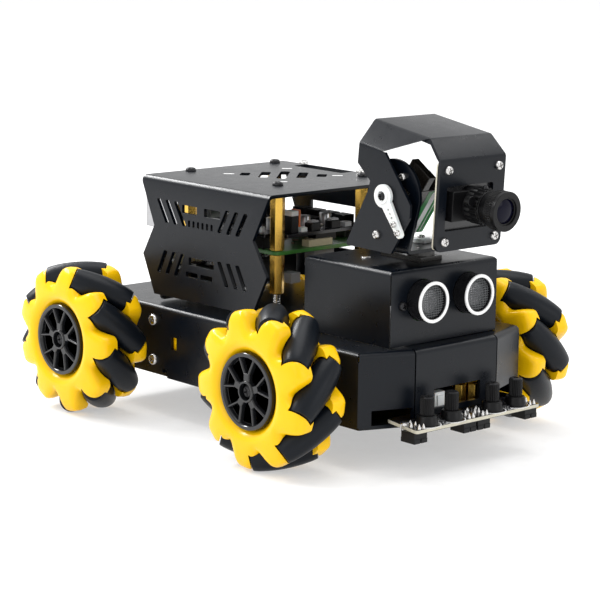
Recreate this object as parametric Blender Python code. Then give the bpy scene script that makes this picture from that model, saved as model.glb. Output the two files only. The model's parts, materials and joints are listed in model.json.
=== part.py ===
"""Four-wheeled mecanum robot with a pan and tilt camera, a sonar pair and a line sensor board.

Frame: the robot faces -Y and stands on z = 0, with +X on its own left. Sizes are in millimetres
and become metres where a mesh is written.
"""

import math

import bmesh
import bpy
from mathutils import Matrix, Vector

MM = 0.001
GAP = 0.3

# Wheels: nine rollers stand at 45 degrees around each one and together make its round tread.
WHEEL_R = 32.5
WHEEL_MID_X = 65.5
WHEEL_HALF_WIDTH = 13.5
AXLE_FRONT_Y = -47.3
AXLE_REAR_Y = 77.5
ROLLERS = 9
ROLLER_PITCH = 360.0 / ROLLERS
ROLLER_AXIS_R = 26.2
ROLLER_HALF = 13.0
ROLLER_PIN_R = 1.2
ROLLER_PIN_HALF = 14.9
ROLLER_ROOM = 0.6
LOBE_LEAD = 23.0
FRONT_PHASE = 128.0
REAR_PHASE = 57.5
HUB_RECESS_R = 15.4
HUB_CREST_R = 19.5
SHAFT_R = 2.7

# Chassis: a bent sheet cover over a flat bottom plate.
SHEET = 1.5
BASE_X = 46.0
DECK_Z = 47.9
BASE_REAR_Y = 98.8
CHAMFER_Y = -76.5
FACE_Y = -85.2
FACE_X = 23.3
WALL_LOW_Z = 16.9
REAR_WALL_LOW_Z = 18.7
NOTCH_Z = 24.9
PLATE_Z = 16.8

# Line sensor board under the nose.
BOARD_TOP_Z = 20.2
KNOBS_X = (-25.4, -11.7, 11.7, 25.4)
KNOB_Y = -94.0
SENSORS_X = (-31.6, -4.0, 4.0, 31.6)
FACE_LOW_Z = BOARD_TOP_Z + GAP

# Front housing, which holds the sonar pair and the pan servo.
HOUSING_X = 30.3
HOUSING_FRONT_Y = -77.6
HOUSING_REAR_Y = -27.5
HOUSING_TOP_Z = 78.7
SONAR_X = 13.0
SONAR_Z = 65.7
SONAR_R = 8.3
SONAR_FRONT_Y = -84.7

# Cage cover over the computer board.
CAGE_X = 41.5
CAGE_TOP_Z = 102.7
BOARD_HOLES_X = (-17.5, 31.5)
BOARD_HOLES_Y = (4.3, 62.3)
BOARD_Z = 73.4
DRIVER_Z = 80.0

# Camera head: it pans about a vertical axis and tilts about the servo's axis.
PAN_Y = -63.5
PIVOT_Y = -68.1
PIVOT_Z = 107.1
PITCH = math.radians(3.0)
SERVO_LEAN = math.radians(34.0)
PAN_PLATE_Z = 84.2

# Hood about the tilt axis, level: the roof falls towards the front slope, whose corners are open.
HOOD_X = 25.1
HOOD_SHEET = 1.2
ROOF_X = 17.0
HOOD_REAR_Y = 16.3
ROOF_REAR_Z = 27.7
SIDE_BEND_REAR_Z = 18.8
ROOF_FRONT = (-14.7, 24.3)
FRONT_BEND = (-22.5, 16.6)
HOOD_FOOT_Z = -19.4
CAMERA_PLATE_X = 18.4
WEDGE_LOW = (2.6, 17.3)
LENS_Z = -1.5
LENS_R = 7.9


# ---------------------------------------------------------------- making meshes


def to_object(name, bm, material=None, location=(0.0, 0.0, 0.0), rotation=(0.0, 0.0, 0.0)):
    """Write a bmesh in millimetres to an object in metres, placed by location and rotation."""
    bmesh.ops.recalc_face_normals(bm, faces=bm.faces)
    bmesh.ops.scale(bm, vec=(MM, MM, MM), verts=bm.verts)
    mesh = bpy.data.meshes.new(name)
    bm.to_mesh(mesh)
    bm.free()
    obj = bpy.data.objects.new(name, mesh)
    bpy.context.scene.collection.objects.link(obj)
    obj.location = Vector(location) * MM
    obj.rotation_euler = rotation
    if material:
        mesh.materials.append(material)
    return obj


def prism(outline, axis, low, high):
    """A closed prism: the outline's points lie across the axis, in the order of the other two."""
    bm = bmesh.new()
    order = {"X": (2, 0, 1), "Y": (0, 2, 1), "Z": (0, 1, 2)}[axis]

    def corner(a, b, along):
        values = (a, b, along)
        return [values[k] for k in order]

    ends = [[bm.verts.new(corner(a, b, along)) for a, b in outline] for along in (low, high)]
    bm.faces.new(ends[0])
    bm.faces.new(ends[1])
    for k in range(len(outline)):
        n = (k + 1) % len(outline)
        bm.faces.new((ends[0][k], ends[0][n], ends[1][n], ends[1][k]))
    return bm


def box(low, high):
    """A closed box between two corners."""
    corners = [(low[0], low[1]), (high[0], low[1]), (high[0], high[1]), (low[0], high[1])]
    return prism(corners, "Z", low[2], high[2])


def lathe(profile, axis, segments=24, centre=(0.0, 0.0, 0.0), start=0.0):
    """A closed turned solid: the profile's points are (along the axis, radius)."""
    bm = bmesh.new()
    turn = {"X": Matrix.Rotation(math.pi / 2, 4, "Y"), "Y": Matrix.Rotation(-math.pi / 2, 4, "X")}
    place = Matrix.Translation(centre) @ turn.get(axis, Matrix.Identity(4))
    rings = []
    for along, radius in profile:
        ring = []
        for k in range(segments):
            angle = start + 2 * math.pi * k / segments
            point = Vector((radius * math.cos(angle), radius * math.sin(angle), along))
            ring.append(bm.verts.new(place @ point))
        rings.append(ring)
    bm.faces.new(rings[0])
    bm.faces.new(rings[-1])
    for first, second in zip(rings, rings[1:]):
        for k in range(segments):
            n = (k + 1) % segments
            bm.faces.new((first[k], first[n], second[n], second[k]))
    return bm


def rod(axis, low, high, radius, centre=(0.0, 0.0, 0.0), segments=16):
    """A plain cylinder along an axis."""
    return lathe([(low, radius), (high, radius)], axis, segments, centre)


def merged(pieces):
    """Several bmeshes in one, still as separate shells."""
    bm = bmesh.new()
    for piece in pieces:
        mesh = bpy.data.meshes.new("shell")
        bmesh.ops.recalc_face_normals(piece, faces=piece.faces)
        piece.to_mesh(mesh)
        piece.free()
        bm.from_mesh(mesh)
        bpy.data.meshes.remove(mesh)
    return bm


def combine(target, tool_mesh, operation):
    """Boolean of the target with a hidden tool, which shares the target's place."""
    tool = to_object(target.name + "_" + operation.lower(), tool_mesh)
    tool.location = target.location
    tool.rotation_euler = target.rotation_euler
    tool.hide_render = True
    tool.display_type = "WIRE"
    modifier = target.modifiers.new(operation.title(), "BOOLEAN")
    modifier.operation = operation
    modifier.solver = "EXACT"
    modifier.use_self = operation == "UNION"
    modifier.object = tool


def cut(target, pieces):
    combine(target, merged(pieces), "DIFFERENCE")


def unite(target, pieces):
    """Join pieces to the target; pieces that touch each other go in one after the other."""
    for piece in pieces:
        combine(target, merged([piece]), "UNION")


def smooth(obj, degrees=40.0):
    obj.data.shade_smooth()
    obj.data.set_sharp_from_angle(angle=math.radians(degrees))


def material(name, color, roughness, metallic=0.0):
    made = bpy.data.materials.new(name)
    made.use_nodes = True
    shader = made.node_tree.nodes["Principled BSDF"]
    shader.inputs["Base Color"].default_value = (*color, 1.0)
    shader.inputs["Roughness"].default_value = roughness
    shader.inputs["Metallic"].default_value = metallic
    return made


# ---------------------------------------------------------------- wheels


def roller_radius(along):
    """Distance from a point along the roller's axis out to the wheel's tread circle, square to the tread."""
    reach = math.sqrt(ROLLER_AXIS_R**2 + along**2 / 2)
    steep = math.sqrt(4 * ROLLER_AXIS_R**2 + along**2)
    return (WHEEL_R / reach - 1.0) * (2 * ROLLER_AXIS_R**2 + along**2) / steep


def roller_profile(extra=0.0, pin_extra=0.0, steps=(-1.0, -0.54, 0.0, 0.54, 1.0)):
    """Points of a roller with its two pin ends, or of the room around it."""
    half = ROLLER_HALF + extra
    barrel = [(half * s, roller_radius(ROLLER_HALF * s) + extra) for s in steps]
    pin = ROLLER_PIN_R + pin_extra
    pin_half = ROLLER_PIN_HALF + pin_extra
    return [(-pin_half, pin), (-half, pin), *barrel, (half, pin), (pin_half, pin)]


def roller_frame(theta, slant):
    """Rotation of a roller: local Z is its own axis and local X points away from the wheel's axis.

    theta runs from the front (-Y) up to +Z. slant is +1 where the inner end leads, for the wheel on -X.
    """
    outward = Vector((0.0, -math.cos(theta), math.sin(theta)))
    forward = Vector((0.0, math.sin(theta), math.cos(theta)))
    along = (Vector((1.0, 0.0, 0.0)) * slant + forward).normalized()
    side = along.cross(outward)
    return Matrix((outward, side, along)).transposed().to_4x4()


def lobe_wave(angle):
    """Height of the lobed outline from 0 in a valley to 1 on a tip; angle is in turns of one lobe."""
    turn = angle % 1.0
    rise, top = 0.42, 0.62
    if turn < rise:
        return 0.5 - 0.5 * math.cos(math.pi * turn / rise)
    if turn < top:
        return 1.0
    return 0.5 + 0.5 * math.cos(math.pi * (turn - top) / (1.0 - top))


def wheel_body(phase, slant, points=45):
    """Hub drum with a dished, lobed plate on each face, as one turned shell about X."""
    bm = bmesh.new()
    rings = []
    # Each row is an offset from the wheel's middle, a radius, and how deep the valleys go there.
    rows = [
        (9.4, HUB_RECESS_R, 0.0),
        (WHEEL_HALF_WIDTH, HUB_CREST_R, 0.0),
        (11.8, 30.8, 6.8),
        (9.0, 31.6, 7.4),
        (4.2, 31.0, 7.5),
        (3.6, 19.0, 0.0),
    ]
    faces = [(x, r, depth, 1.0) for x, r, depth in rows]
    faces += [(-x, r, depth, -1.0) for x, r, depth in reversed(rows)]
    for x, radius, depth, side in faces:
        ring = []
        for k in range(points):
            degrees = 360.0 * k / points
            turn = (degrees - phase) * side * -slant / ROLLER_PITCH
            low = 1.0 - lobe_wave(turn - LOBE_LEAD / ROLLER_PITCH + 0.5)
            r = radius - depth * low
            angle = math.radians(degrees)
            ring.append(bm.verts.new((-x, -r * math.cos(angle), r * math.sin(angle))))
        rings.append(ring)
    bm.faces.new(rings[0])
    bm.faces.new(rings[-1])
    for first, second in zip(rings, rings[1:]):
        for k in range(points):
            n = (k + 1) % points
            bm.faces.new((first[k], first[n], second[n], second[k]))
    return bm


def add_wheel(name, side, axle_y, phase, slant, yellow, rubber):
    """One wheel on the -X side (side -1), or its mirror image on the +X side."""
    centre = Vector((side * WHEEL_MID_X, axle_y, WHEEL_R))
    body = wheel_body(phase, slant)
    room = []
    for k in range(ROLLERS):
        theta = math.radians(phase + k * ROLLER_PITCH)
        turn = roller_frame(theta, slant)
        outward = turn.to_3x3().col[0] * ROLLER_AXIS_R
        cutter = lathe(roller_profile(ROLLER_ROOM, GAP, (-1.0, 0.0, 1.0)), "Z", 10)
        cutter.transform(Matrix.Translation(outward) @ turn)
        room.append(cutter)
    wall_gap = WHEEL_MID_X - BASE_X
    shaft = rod("X", 8.0, wall_gap + 6.0, SHAFT_R, segments=14)
    boss = rod("X", 8.0, wall_gap - 2.0, 5.0, segments=14)
    pieces = [body, *room, shaft, boss]
    if side > 0:
        for piece in pieces:
            piece.transform(Matrix.Scale(-1.0, 4, Vector((1.0, 0.0, 0.0))))
    wheel = to_object(name, body, yellow, centre)
    cut(wheel, room)
    unite(wheel, [boss, shaft])
    smooth(wheel, 35.0)
    for k in range(ROLLERS):
        theta = math.radians(phase + k * ROLLER_PITCH)
        turn = roller_frame(theta, -side * slant)
        place = centre + turn.to_3x3().col[0] * ROLLER_AXIS_R
        roller_name = name.replace("wheel", "roller") + "_%d" % (k + 1)
        barrel = lathe(roller_profile(), "Z", 10)
        roller = to_object(roller_name, barrel, rubber, place, turn.to_euler())
        smooth(roller, 50.0)


def add_gearmotor(name, side, axle_y, reach, yellow):
    """Gearbox with its motor can, beside the wall; reach is +1 where the can lies behind the axle."""
    outer = side * (BASE_X - SHEET - GAP)
    inner = outer - side * 18.8
    low_x, high_x = sorted((outer, inner))
    low_y, high_y = sorted((axle_y - reach * 11.5, axle_y + reach * 37.0))
    body = box((low_x, low_y, WHEEL_R - 11.2), (high_x, high_y, WHEEL_R + 11.2))
    motor = to_object(name, body, yellow)
    can_ends = sorted((axle_y + reach * 36.0, axle_y + reach * 58.5))
    middle_x = (low_x + high_x) / 2
    unite(motor, [rod("Y", *can_ends, 9.3, (middle_x, 0.0, WHEEL_R), 20)])
    socket = sorted((outer + side * 1.0, outer - side * 7.0))
    cut(motor, [rod("X", *socket, SHAFT_R + GAP, (0.0, axle_y, WHEEL_R), 14)])
    smooth(motor)


# ---------------------------------------------------------------- chassis


def base_outline(inset=0.0):
    """Outline of the cover seen from above, drawn in by a wall's thickness."""
    lean = math.atan2(CHAMFER_Y - FACE_Y, BASE_X - FACE_X)
    side = BASE_X - inset
    face = FACE_Y + inset
    shift = inset * math.tan(lean / 2)
    corner = FACE_X - shift
    chamfer = CHAMFER_Y + inset * math.tan((math.pi / 2 - lean) / 2)
    rear = BASE_REAR_Y - inset
    right = [(corner, face), (side, chamfer), (side, rear)]
    return right + [(-x, y) for x, y in reversed(right)]


def add_base_cover(metal):
    cover = to_object("base_cover", prism(base_outline(), "Z", WALL_LOW_Z, DECK_Z), metal)
    hollow = prism(base_outline(SHEET), "Z", WALL_LOW_Z - 5.0, DECK_Z - SHEET)
    cut(cover, [hollow])
    low = WALL_LOW_Z - 5.0
    trims = [
        box((-60.0, 45.5, low), (60.0, 120.0, REAR_WALL_LOW_Z)),
        box((-60.0, 43.0, low), (60.0, 46.0, REAR_WALL_LOW_Z + 1.9)),
        box((-40.5, -100.0, low), (40.5, CHAMFER_Y + 0.5, FACE_LOW_Z)),
        box((-40.5, -100.0, low), (-FACE_X - 0.5, CHAMFER_Y + 0.5, NOTCH_Z)),
        box((FACE_X + 0.5, -100.0, low), (40.5, CHAMFER_Y + 0.5, NOTCH_Z)),
    ]
    for trim in trims:
        cut(cover, [trim])
    window = box((-12.6, FACE_Y - 5.0, 23.0), (13.8, FACE_Y + 5.0, 30.8))
    slots = [box((x - 8.0, 36.5, 30.0), (x + 8.0, 40.3, 35.5)) for x in (-BASE_X, BASE_X)]
    shafts = [
        rod("X", *ends, 6.4, (0.0, y, WHEEL_R), 20)
        for ends in ((-60.0, -40.0), (40.0, 60.0))
        for y in (AXLE_FRONT_Y, AXLE_REAR_Y)
    ]
    cable = box((-8.0, -18.0, DECK_Z - 8.0), (8.0, -4.0, DECK_Z + 8.0))
    socket = box((-12.0, BASE_REAR_Y - 5.0, 26.0), (12.0, BASE_REAR_Y + 5.0, 38.0))
    cut(cover, [window, *slots, *shafts, cable, socket])


def add_bottom_plate(metal):
    outline = base_outline(SHEET + 2 * GAP)
    plate = to_object("bottom_plate", prism(outline, "Z", PLATE_Z, PLATE_Z + SHEET), metal)
    tongue = box((-20.0, -88.5, PLATE_Z), (20.0, -80.0, PLATE_Z + SHEET))
    unite(plate, [tongue])


def add_battery_pack(plastic):
    """Two round cells side by side in a shallow tray."""
    floor = PLATE_Z + SHEET + GAP
    pack = to_object("battery_pack", box((-20.5, -28.0, floor), (20.5, 46.0, floor + 4.0)), plastic)
    cells = [rod("Y", -25.0, 43.0, 9.2, (x, 0.0, floor + 11.0), 20) for x in (-9.7, 9.7)]
    unite(pack, cells)
    smooth(pack)


def add_front_housing(metal):
    low = DECK_Z + GAP
    front = HOUSING_FRONT_Y
    outer = box((-HOUSING_X, front, low), (HOUSING_X, HOUSING_REAR_Y, HOUSING_TOP_Z))
    housing = to_object("front_housing", outer, metal)
    inner_x = HOUSING_X - SHEET
    hollow_high = (inner_x, HOUSING_REAR_Y + 5.0, HOUSING_TOP_Z - SHEET)
    cut(housing, [box((-inner_x, front + SHEET, low - 5.0), hollow_high)])
    eyes = [
        rod("Y", front - 5.0, front + 5.0, SONAR_R + GAP, (side * SONAR_X, 0.0, SONAR_Z), 28)
        for side in (-1, 1)
    ]
    servo_slot = box((-6.4, PAN_Y - 6.4, HOUSING_TOP_Z - 5.0), (6.4, PAN_Y + 17.4, HOUSING_TOP_Z + 5.0))
    cut(housing, [*eyes, servo_slot])


def add_sonar_module(dark):
    board_back = HOUSING_FRONT_Y + SHEET + 1.9
    low = (-22.5, HOUSING_FRONT_Y + SHEET + 0.6, SONAR_Z - 10.0)
    sonar = to_object("sonar_module", box(low, (22.5, board_back, SONAR_Z + 9.0)), dark)
    cans = [
        rod("Y", SONAR_FRONT_Y, board_back - 0.6, SONAR_R, (side * SONAR_X, 0.0, SONAR_Z), 28)
        for side in (-1, 1)
    ]
    unite(sonar, cans)
    dishes = [
        rod("Y", SONAR_FRONT_Y - 3.0, SONAR_FRONT_Y + 1.5, 6.4, (side * SONAR_X, 0.0, SONAR_Z), 24)
        for side in (-1, 1)
    ]
    cut(sonar, dishes)
    smooth(sonar)


def add_line_sensor_board(dark):
    """Board across the nose with four knobs above and four sensor housings below."""
    top = BOARD_TOP_Z
    outline = [(-35.5, -98.6), (35.5, -98.6), (31.0, -77.8), (-31.0, -77.8)]
    board = to_object("line_sensor_board", prism(outline, "Z", top - 1.6, top), dark)
    knob_profile = [(top - 0.5, 4.6), (24.2, 4.4), (24.2, 2.8), (31.6, 2.7)]
    parts = [lathe(knob_profile, "Z", 14, (x, KNOB_Y, 0.0)) for x in KNOBS_X]
    parts += [box((x - 3.8, -97.3, 14.2), (x + 3.8, -89.6, top - 1.0)) for x in SENSORS_X]
    unite(board, parts)


# ---------------------------------------------------------------- computer cage


def slot_outline(y_top, z_top, y_low, z_low, width):
    """A slanted slot seen from the side."""
    half = width / 2
    return [(y_top - half, z_top), (y_top + half, z_top), (y_low + half, z_low), (y_low - half, z_low)]


def cage_side_outline():
    rear = [(65.9, 99.7), (57.7, 81.5), (65.5, 68.2), (57.7, 51.4)]
    front = [(-7.6, 52.0), (-16.6, 68.9), (-7.7, 82.9), (-17.4, 101.5)]
    return [(65.9, CAGE_TOP_Z), *rear, *front, (-17.4, CAGE_TOP_Z)]


def cage_vents():
    """Vents of the side plates; above the board, +X has one wide opening for the ports instead."""
    lower, upper = [], []
    for k in range(3):
        step = 5.85 * k
        upper.append(slot_outline(54.6 - step, 93.5, 48.5 - step, 83.5, 2.6))
        upper.append(slot_outline(8.3 - step, 93.5, 14.0 - step, 83.5, 2.6))
        lower.append(slot_outline(49.5 - step, 71.4, 54.6 - step, 61.3, 2.6))
        lower.append(slot_outline(13.9 - step, 71.4, 8.5 - step, 61.3, 2.6))
    level = [(13.1, 23.7, 89.2, 92.6), (28.5, 38.4, 89.2, 92.6)]
    level += [(18.0 + 3.0 * k, 19.4 + 3.0 * k, 83.6, 86.4) for k in range(6)]
    upper += [rectangle(*sizes) for sizes in level]
    level = [(17.2, 33.9, 67.2, 70.6), (18.2, 26.0, 62.0, 64.2), (28.0, 35.9, 62.0, 64.2)]
    lower += [rectangle(*sizes) for sizes in level]
    vents = [prism(outline, "X", -60.0, 60.0) for outline in lower]
    vents += [prism(outline, "X", -60.0, 0.0) for outline in upper]
    vents.append(prism(rectangle(14.0, 47.0, 76.5, 86.8), "X", 0.0, 60.0))
    return vents


def rectangle(low_a, high_a, low_b, high_b):
    return [(low_a, low_b), (high_a, low_b), (high_a, high_b), (low_a, high_b)]


def top_slots():
    """Slots in a diagonal row across the top plate, each lying across the row."""
    half_width = 1.8
    along = Vector((0.77, 0.64))
    across = Vector((-along.y, along.x)) * half_width
    row = [(-5.3, 39.9, 9.0), (0.3, 33.4, 20.0), (6.2, 27.8, 26.0)]
    row += [(12.4, 22.2, 20.0), (18.4, 16.3, 9.0)]
    slots = []
    for x, y, length in row:
        middle, reach = Vector((x, y)), along * (length / 2)
        corners = [middle - reach - across, middle + reach - across]
        corners += [middle + reach + across, middle - reach + across]
        slots.append(prism([(c.x, c.y) for c in corners], "Z", CAGE_TOP_Z - 4.0, CAGE_TOP_Z + 4.0))
    return slots


def add_cage_cover(metal):
    cover = to_object("cage_cover", prism(cage_side_outline(), "X", -CAGE_X, CAGE_X), metal)
    inner_x = CAGE_X - SHEET
    cut(cover, [box((-inner_x, -40.0, 40.0), (inner_x, 90.0, CAGE_TOP_Z - SHEET))])
    notch = box((31.0, 17.5, CAGE_TOP_Z - 4.0), (39.0, 49.0, CAGE_TOP_Z + 4.0))
    cut(cover, [*cage_vents(), *top_slots(), notch])


def hex_post(x, y, low, high):
    return rod("Z", low, high, 3.17, (x, y, 0.0), 6)


def add_computer_board(green):
    """Board on its four brass posts, with the sockets along its rear edge."""
    top = BOARD_Z + 1.6
    board = to_object("computer_board", box((-21.0, 0.8, BOARD_Z), (35.0, 85.8, top)), green)
    sockets = [
        box((-19.5, 69.0, top - 0.5), (-3.5, 91.8, 89.5)),
        box((-0.7, 69.0, top - 0.5), (13.9, 91.8, 91.0)),
        box((17.1, 69.0, top - 0.5), (31.7, 91.8, 91.0)),
        box((1.0, 31.0, top - 0.5), (16.0, 46.0, top + 1.6)),
        box((-1.5, 2.0, top - 0.5), (12.2, 6.6, top + 3.0)),
    ]
    unite(board, sockets)
    for x in BOARD_HOLES_X:
        for y in BOARD_HOLES_Y:
            post = hex_post(x, y, 56.6, CAGE_TOP_Z - SHEET - GAP)
            stud = rod("Z", DECK_Z + GAP, 57.5, 1.5, (x, y, 0.0), 10)
            unite(board, [post, stud])


def add_expansion_board(dark):
    """Driver board that sits on the computer board's pin header, notched round the two front posts."""
    low = DRIVER_Z
    outline = [(-13.5, 2.3), (27.5, 2.3), (27.5, 9.3), (34.5, 9.3), (34.5, 58.3), (-20.5, 58.3)]
    outline += [(-20.5, 9.3), (-13.5, 9.3)]
    board = to_object("expansion_board", prism(outline, "Z", low, low + 1.5), dark)
    blocks = [
        box((-20.2, 10.3, BOARD_Z + 1.9), (-15.2, 58.0, low + 0.5)),
        box((0.5, 3.2, low + 1.0), (6.5, 7.6, 85.0)),
        box((12.2, 3.2, low + 1.0), (18.2, 7.6, 85.0)),
        box((0.5, 22.0, low + 1.0), (13.5, 35.0, 83.7)),
        box((28.4, 12.0, low + 1.0), (34.2, 46.4, 90.1)),
    ]
    unite(board, blocks)


# ---------------------------------------------------------------- camera head


def add_pan_servo(dark):
    top_inner = HOUSING_TOP_Z - SHEET - GAP
    case = box((-6.0, PAN_Y - 6.0, 58.5), (6.0, PAN_Y + 17.0, 80.6))
    servo = to_object("pan_servo", case, dark)
    flange = box((-6.0, PAN_Y - 10.4, top_inner - 2.3), (6.0, PAN_Y + 21.6, top_inner))
    boss = rod("Z", 80.0, 83.6, 5.6, (0.0, PAN_Y, 0.0), 20)
    spline = rod("Z", 83.0, PAN_PLATE_Z + SHEET - GAP, 2.3, (0.0, PAN_Y, 0.0), 14)
    unite(servo, [flange, boss, spline])


def servo_point(along, across):
    """World (y, z) of a point in the tilt servo's own plane, measured from its output axis."""
    y = PIVOT_Y + along * math.sin(SERVO_LEAN) + across * math.cos(SERVO_LEAN)
    z = PIVOT_Z - along * math.cos(SERVO_LEAN) + across * math.sin(SERVO_LEAN)
    return y, z


def servo_outline(start, end, half):
    corners = [(start, -half), (end, -half), (end, half), (start, half)]
    return [servo_point(along, across) for along, across in corners]


def add_pan_bracket(metal):
    """U-shaped bracket: a base plate on the pan horn, and two uprights about the tilt axis."""
    top = PAN_PLATE_Z + SHEET
    origin = (0.0, PAN_Y, 0.0)
    base = box((-20.5, -76.0 - PAN_Y, PAN_PLATE_Z), (20.5, -54.0 - PAN_Y, top))
    bracket = to_object("pan_bracket", base, metal, origin)
    round_top = [
        (PIVOT_Y - PAN_Y + 14.3 * math.cos(math.radians(a)), PIVOT_Z + 14.3 * math.sin(math.radians(a)))
        for a in range(-10, 191, 20)
    ]
    outline = [(-76.0 - PAN_Y, PAN_PLATE_Z), (-54.0 - PAN_Y, PAN_PLATE_Z), *round_top]
    uprights = [prism(outline, "X", x, x + SHEET) for x in (-20.5, 19.0)]
    pin = rod("X", 19.5, 26.6, 1.5, (0.0, PIVOT_Y - PAN_Y, PIVOT_Z), 12)
    horn = lathe([(top - 0.3, 3.4), (87.6, 3.4)], "Z", 16)
    arm = box((-2.2, -3.0, top - 0.3), (16.0, 3.0, 87.2))
    unite(bracket, [*uprights, pin, horn, arm])
    socket = rod("Z", PAN_PLATE_Z - 3.0, top - GAP + 0.4, 2.3 + GAP, segments=14)
    opening = prism([(y - PAN_Y, z) for y, z in servo_outline(-6.4, 17.4, 6.4)], "X", -30.0, -10.0)
    cut(bracket, [socket])
    cut(bracket, [opening])


def add_tilt_servo(dark):
    """Servo lying across the bracket, with its output shaft towards -X."""
    flange_x = -20.5 + SHEET + GAP
    case = prism(servo_outline(-6.0, 17.0, 6.0), "X", -22.6, 0.6)
    servo = to_object("tilt_servo", case, dark)
    flange = prism(servo_outline(-10.4, 21.6, 6.0), "X", flange_x, flange_x + 2.3)
    spline = rod("X", -26.2, -22.0, 2.3, (0.0, PIVOT_Y, PIVOT_Z), 14)
    unite(servo, [flange, spline])


def place_on_tilt(obj):
    """Put a mesh made about the tilt axis, level, at the rest pitch of the head."""
    obj.location = Vector((0.0, PIVOT_Y, PIVOT_Z)) * MM
    obj.rotation_euler = (PITCH, 0.0, 0.0)
    return obj


def hood_solid(inset=0.0):
    """The folded hood as a solid about the tilt axis; the inner one is drawn in by the sheet."""
    side, front = HOOD_X - inset, FRONT_BEND[0] + inset
    extra = 20.0 if inset else 0.0
    bm = box((-side, front, HOOD_FOOT_Z - extra), (side, HOOD_REAR_Y + extra, 40.0))
    roof_front = Vector((ROOF_X, *ROOF_FRONT))
    roof_rear = Vector((ROOF_X, HOOD_REAR_Y, ROOF_REAR_Z))
    along = roof_rear - roof_front
    down_side = Vector((HOOD_X, HOOD_REAR_Y, SIDE_BEND_REAR_Z)) - roof_rear
    normal_x, normal_y, normal_z = down_side.cross(along).normalized()
    slope = Vector((0.0, *ROOF_FRONT)) - Vector((0.0, *FRONT_BEND))
    planes = [
        (roof_rear, Vector((0.0, -along.z, along.y)).normalized()),
        (roof_front, Vector((0.0, -slope.z, slope.y)).normalized()),
        (roof_rear, Vector((normal_x, normal_y, normal_z))),
        (Vector((-ROOF_X, HOOD_REAR_Y, ROOF_REAR_Z)), Vector((-normal_x, normal_y, normal_z))),
    ]
    for point, normal in planes:
        geometry = [*bm.verts, *bm.edges, *bm.faces]
        bmesh.ops.bisect_plane(
            bm, geom=geometry, plane_co=point - normal * inset, plane_no=normal, clear_outer=True
        )
        bmesh.ops.holes_fill(bm, edges=bm.edges)
    return bm


def corner_wedge(side):
    """Room beside the front slope, from the side plate's bend up to the roof's corner."""
    bm = bmesh.new()
    rings = []
    for z in (WEDGE_LOW[1] - 0.5, ROOF_FRONT[1] + 1.0):
        share = (z - WEDGE_LOW[1]) / (ROOF_FRONT[1] - WEDGE_LOW[1])
        x = CAMERA_PLATE_X + (ROOF_X - CAMERA_PLATE_X) * share
        y = WEDGE_LOW[0] + (ROOF_FRONT[0] - WEDGE_LOW[0]) * share
        corners = ((x, y), (60.0, y), (60.0, -60.0), (x, -60.0))
        rings.append([bm.verts.new((side * a, b, z)) for a, b in corners])
    bm.faces.new(rings[0])
    bm.faces.new(rings[1])
    for k in range(4):
        n = (k + 1) % 4
        bm.faces.new((rings[0][k], rings[0][n], rings[1][n], rings[1][k]))
    return bm


def side_plate_outline():
    """Side plate in the tilted head's own plane, from its bend down to its foot."""
    rear = [(HOOD_REAR_Y, 18.6), (16.6, 10.6), (8.3, 4.0), (21.2, -23.3)]
    front = [(-4.8, -22.4), (-14.0, -6.6), (-14.0, -1.6), (WEDGE_LOW[0], WEDGE_LOW[1] - 0.1)]
    return rear + front


def add_camera_hood(metal):
    hood = place_on_tilt(to_object("camera_hood", hood_solid(), metal))
    cut(hood, [hood_solid(HOOD_SHEET)])
    # The flat blank leaves both sides open between the camera plate and the side plates.
    for side in (-1, 1):
        low_x, high_x = sorted((side * CAMERA_PLATE_X, side * (HOOD_X + 5.0)))
        cut(hood, [box((low_x, -40.0, -40.0), (high_x, 40.0, WEDGE_LOW[1] - 0.3))])
        cut(hood, [corner_wedge(side)])
    for side in (-1, 1):
        low_x, high_x = sorted((side * HOOD_X, side * (HOOD_X - HOOD_SHEET)))
        unite(hood, [prism(side_plate_outline(), "X", low_x, high_x)])
    window = box((-14.0, -30.0, LENS_Z - 9.9), (12.0, -15.0, LENS_Z + 7.7))
    shaft = rod("X", -30.0, -20.0, 2.3 + 0.5, segments=16)
    pin = rod("X", 20.0, 30.0, 1.5 + GAP, segments=12)
    cut(hood, [window, shaft, pin])


def add_tilt_horn(white):
    """Single-armed horn that the servo's spline turns, screwed to the side plate."""
    outer = -HOOD_X - GAP
    reach = Vector((-10.2, -13.4))
    across = Vector((-reach.y, reach.x)).normalized()
    head = [
        (4.4 * math.cos(math.radians(a)), 4.4 * math.sin(math.radians(a))) for a in range(0, 360, 24)
    ]
    horn = place_on_tilt(to_object("tilt_horn", prism(head, "X", outer - 3.2, outer), white))
    near, far = reach.normalized() * 2.0, reach
    arm = [near + across * 2.7, near - across * 2.7, far - across * 1.8, far + across * 1.8]
    unite(horn, [prism([(p.x, p.y) for p in arm], "X", outer - 1.8, outer)])
    cut(horn, [rod("X", outer - 1.3, outer + 2.0, 2.3 + GAP, segments=14)])


def add_camera_module(dark):
    """Camera board behind the plate with the lens holder through the plate's window."""
    back = FRONT_BEND[0] + HOOD_SHEET + GAP
    low, high = (-18.2, back + 1.0, HOOD_FOOT_Z + 0.7), (18.2, back + 2.4, FRONT_BEND[1] - 1.0)
    board = place_on_tilt(to_object("camera_module", box(low, high), dark))
    centre = (0.0, 0.0, LENS_Z)
    holder = lathe([(-32.5, 6.7), (-30.0, 6.9), (back + 1.5, 6.9)], "Y", 20, centre)
    base = box((-12.5, -23.6, LENS_Z - 6.0), (9.0, back + 1.5, LENS_Z + 5.8))
    unite(board, [base, holder])
    cut(board, [rod("Y", -36.0, -24.0, 5.6 + GAP, centre, 20)])


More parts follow.
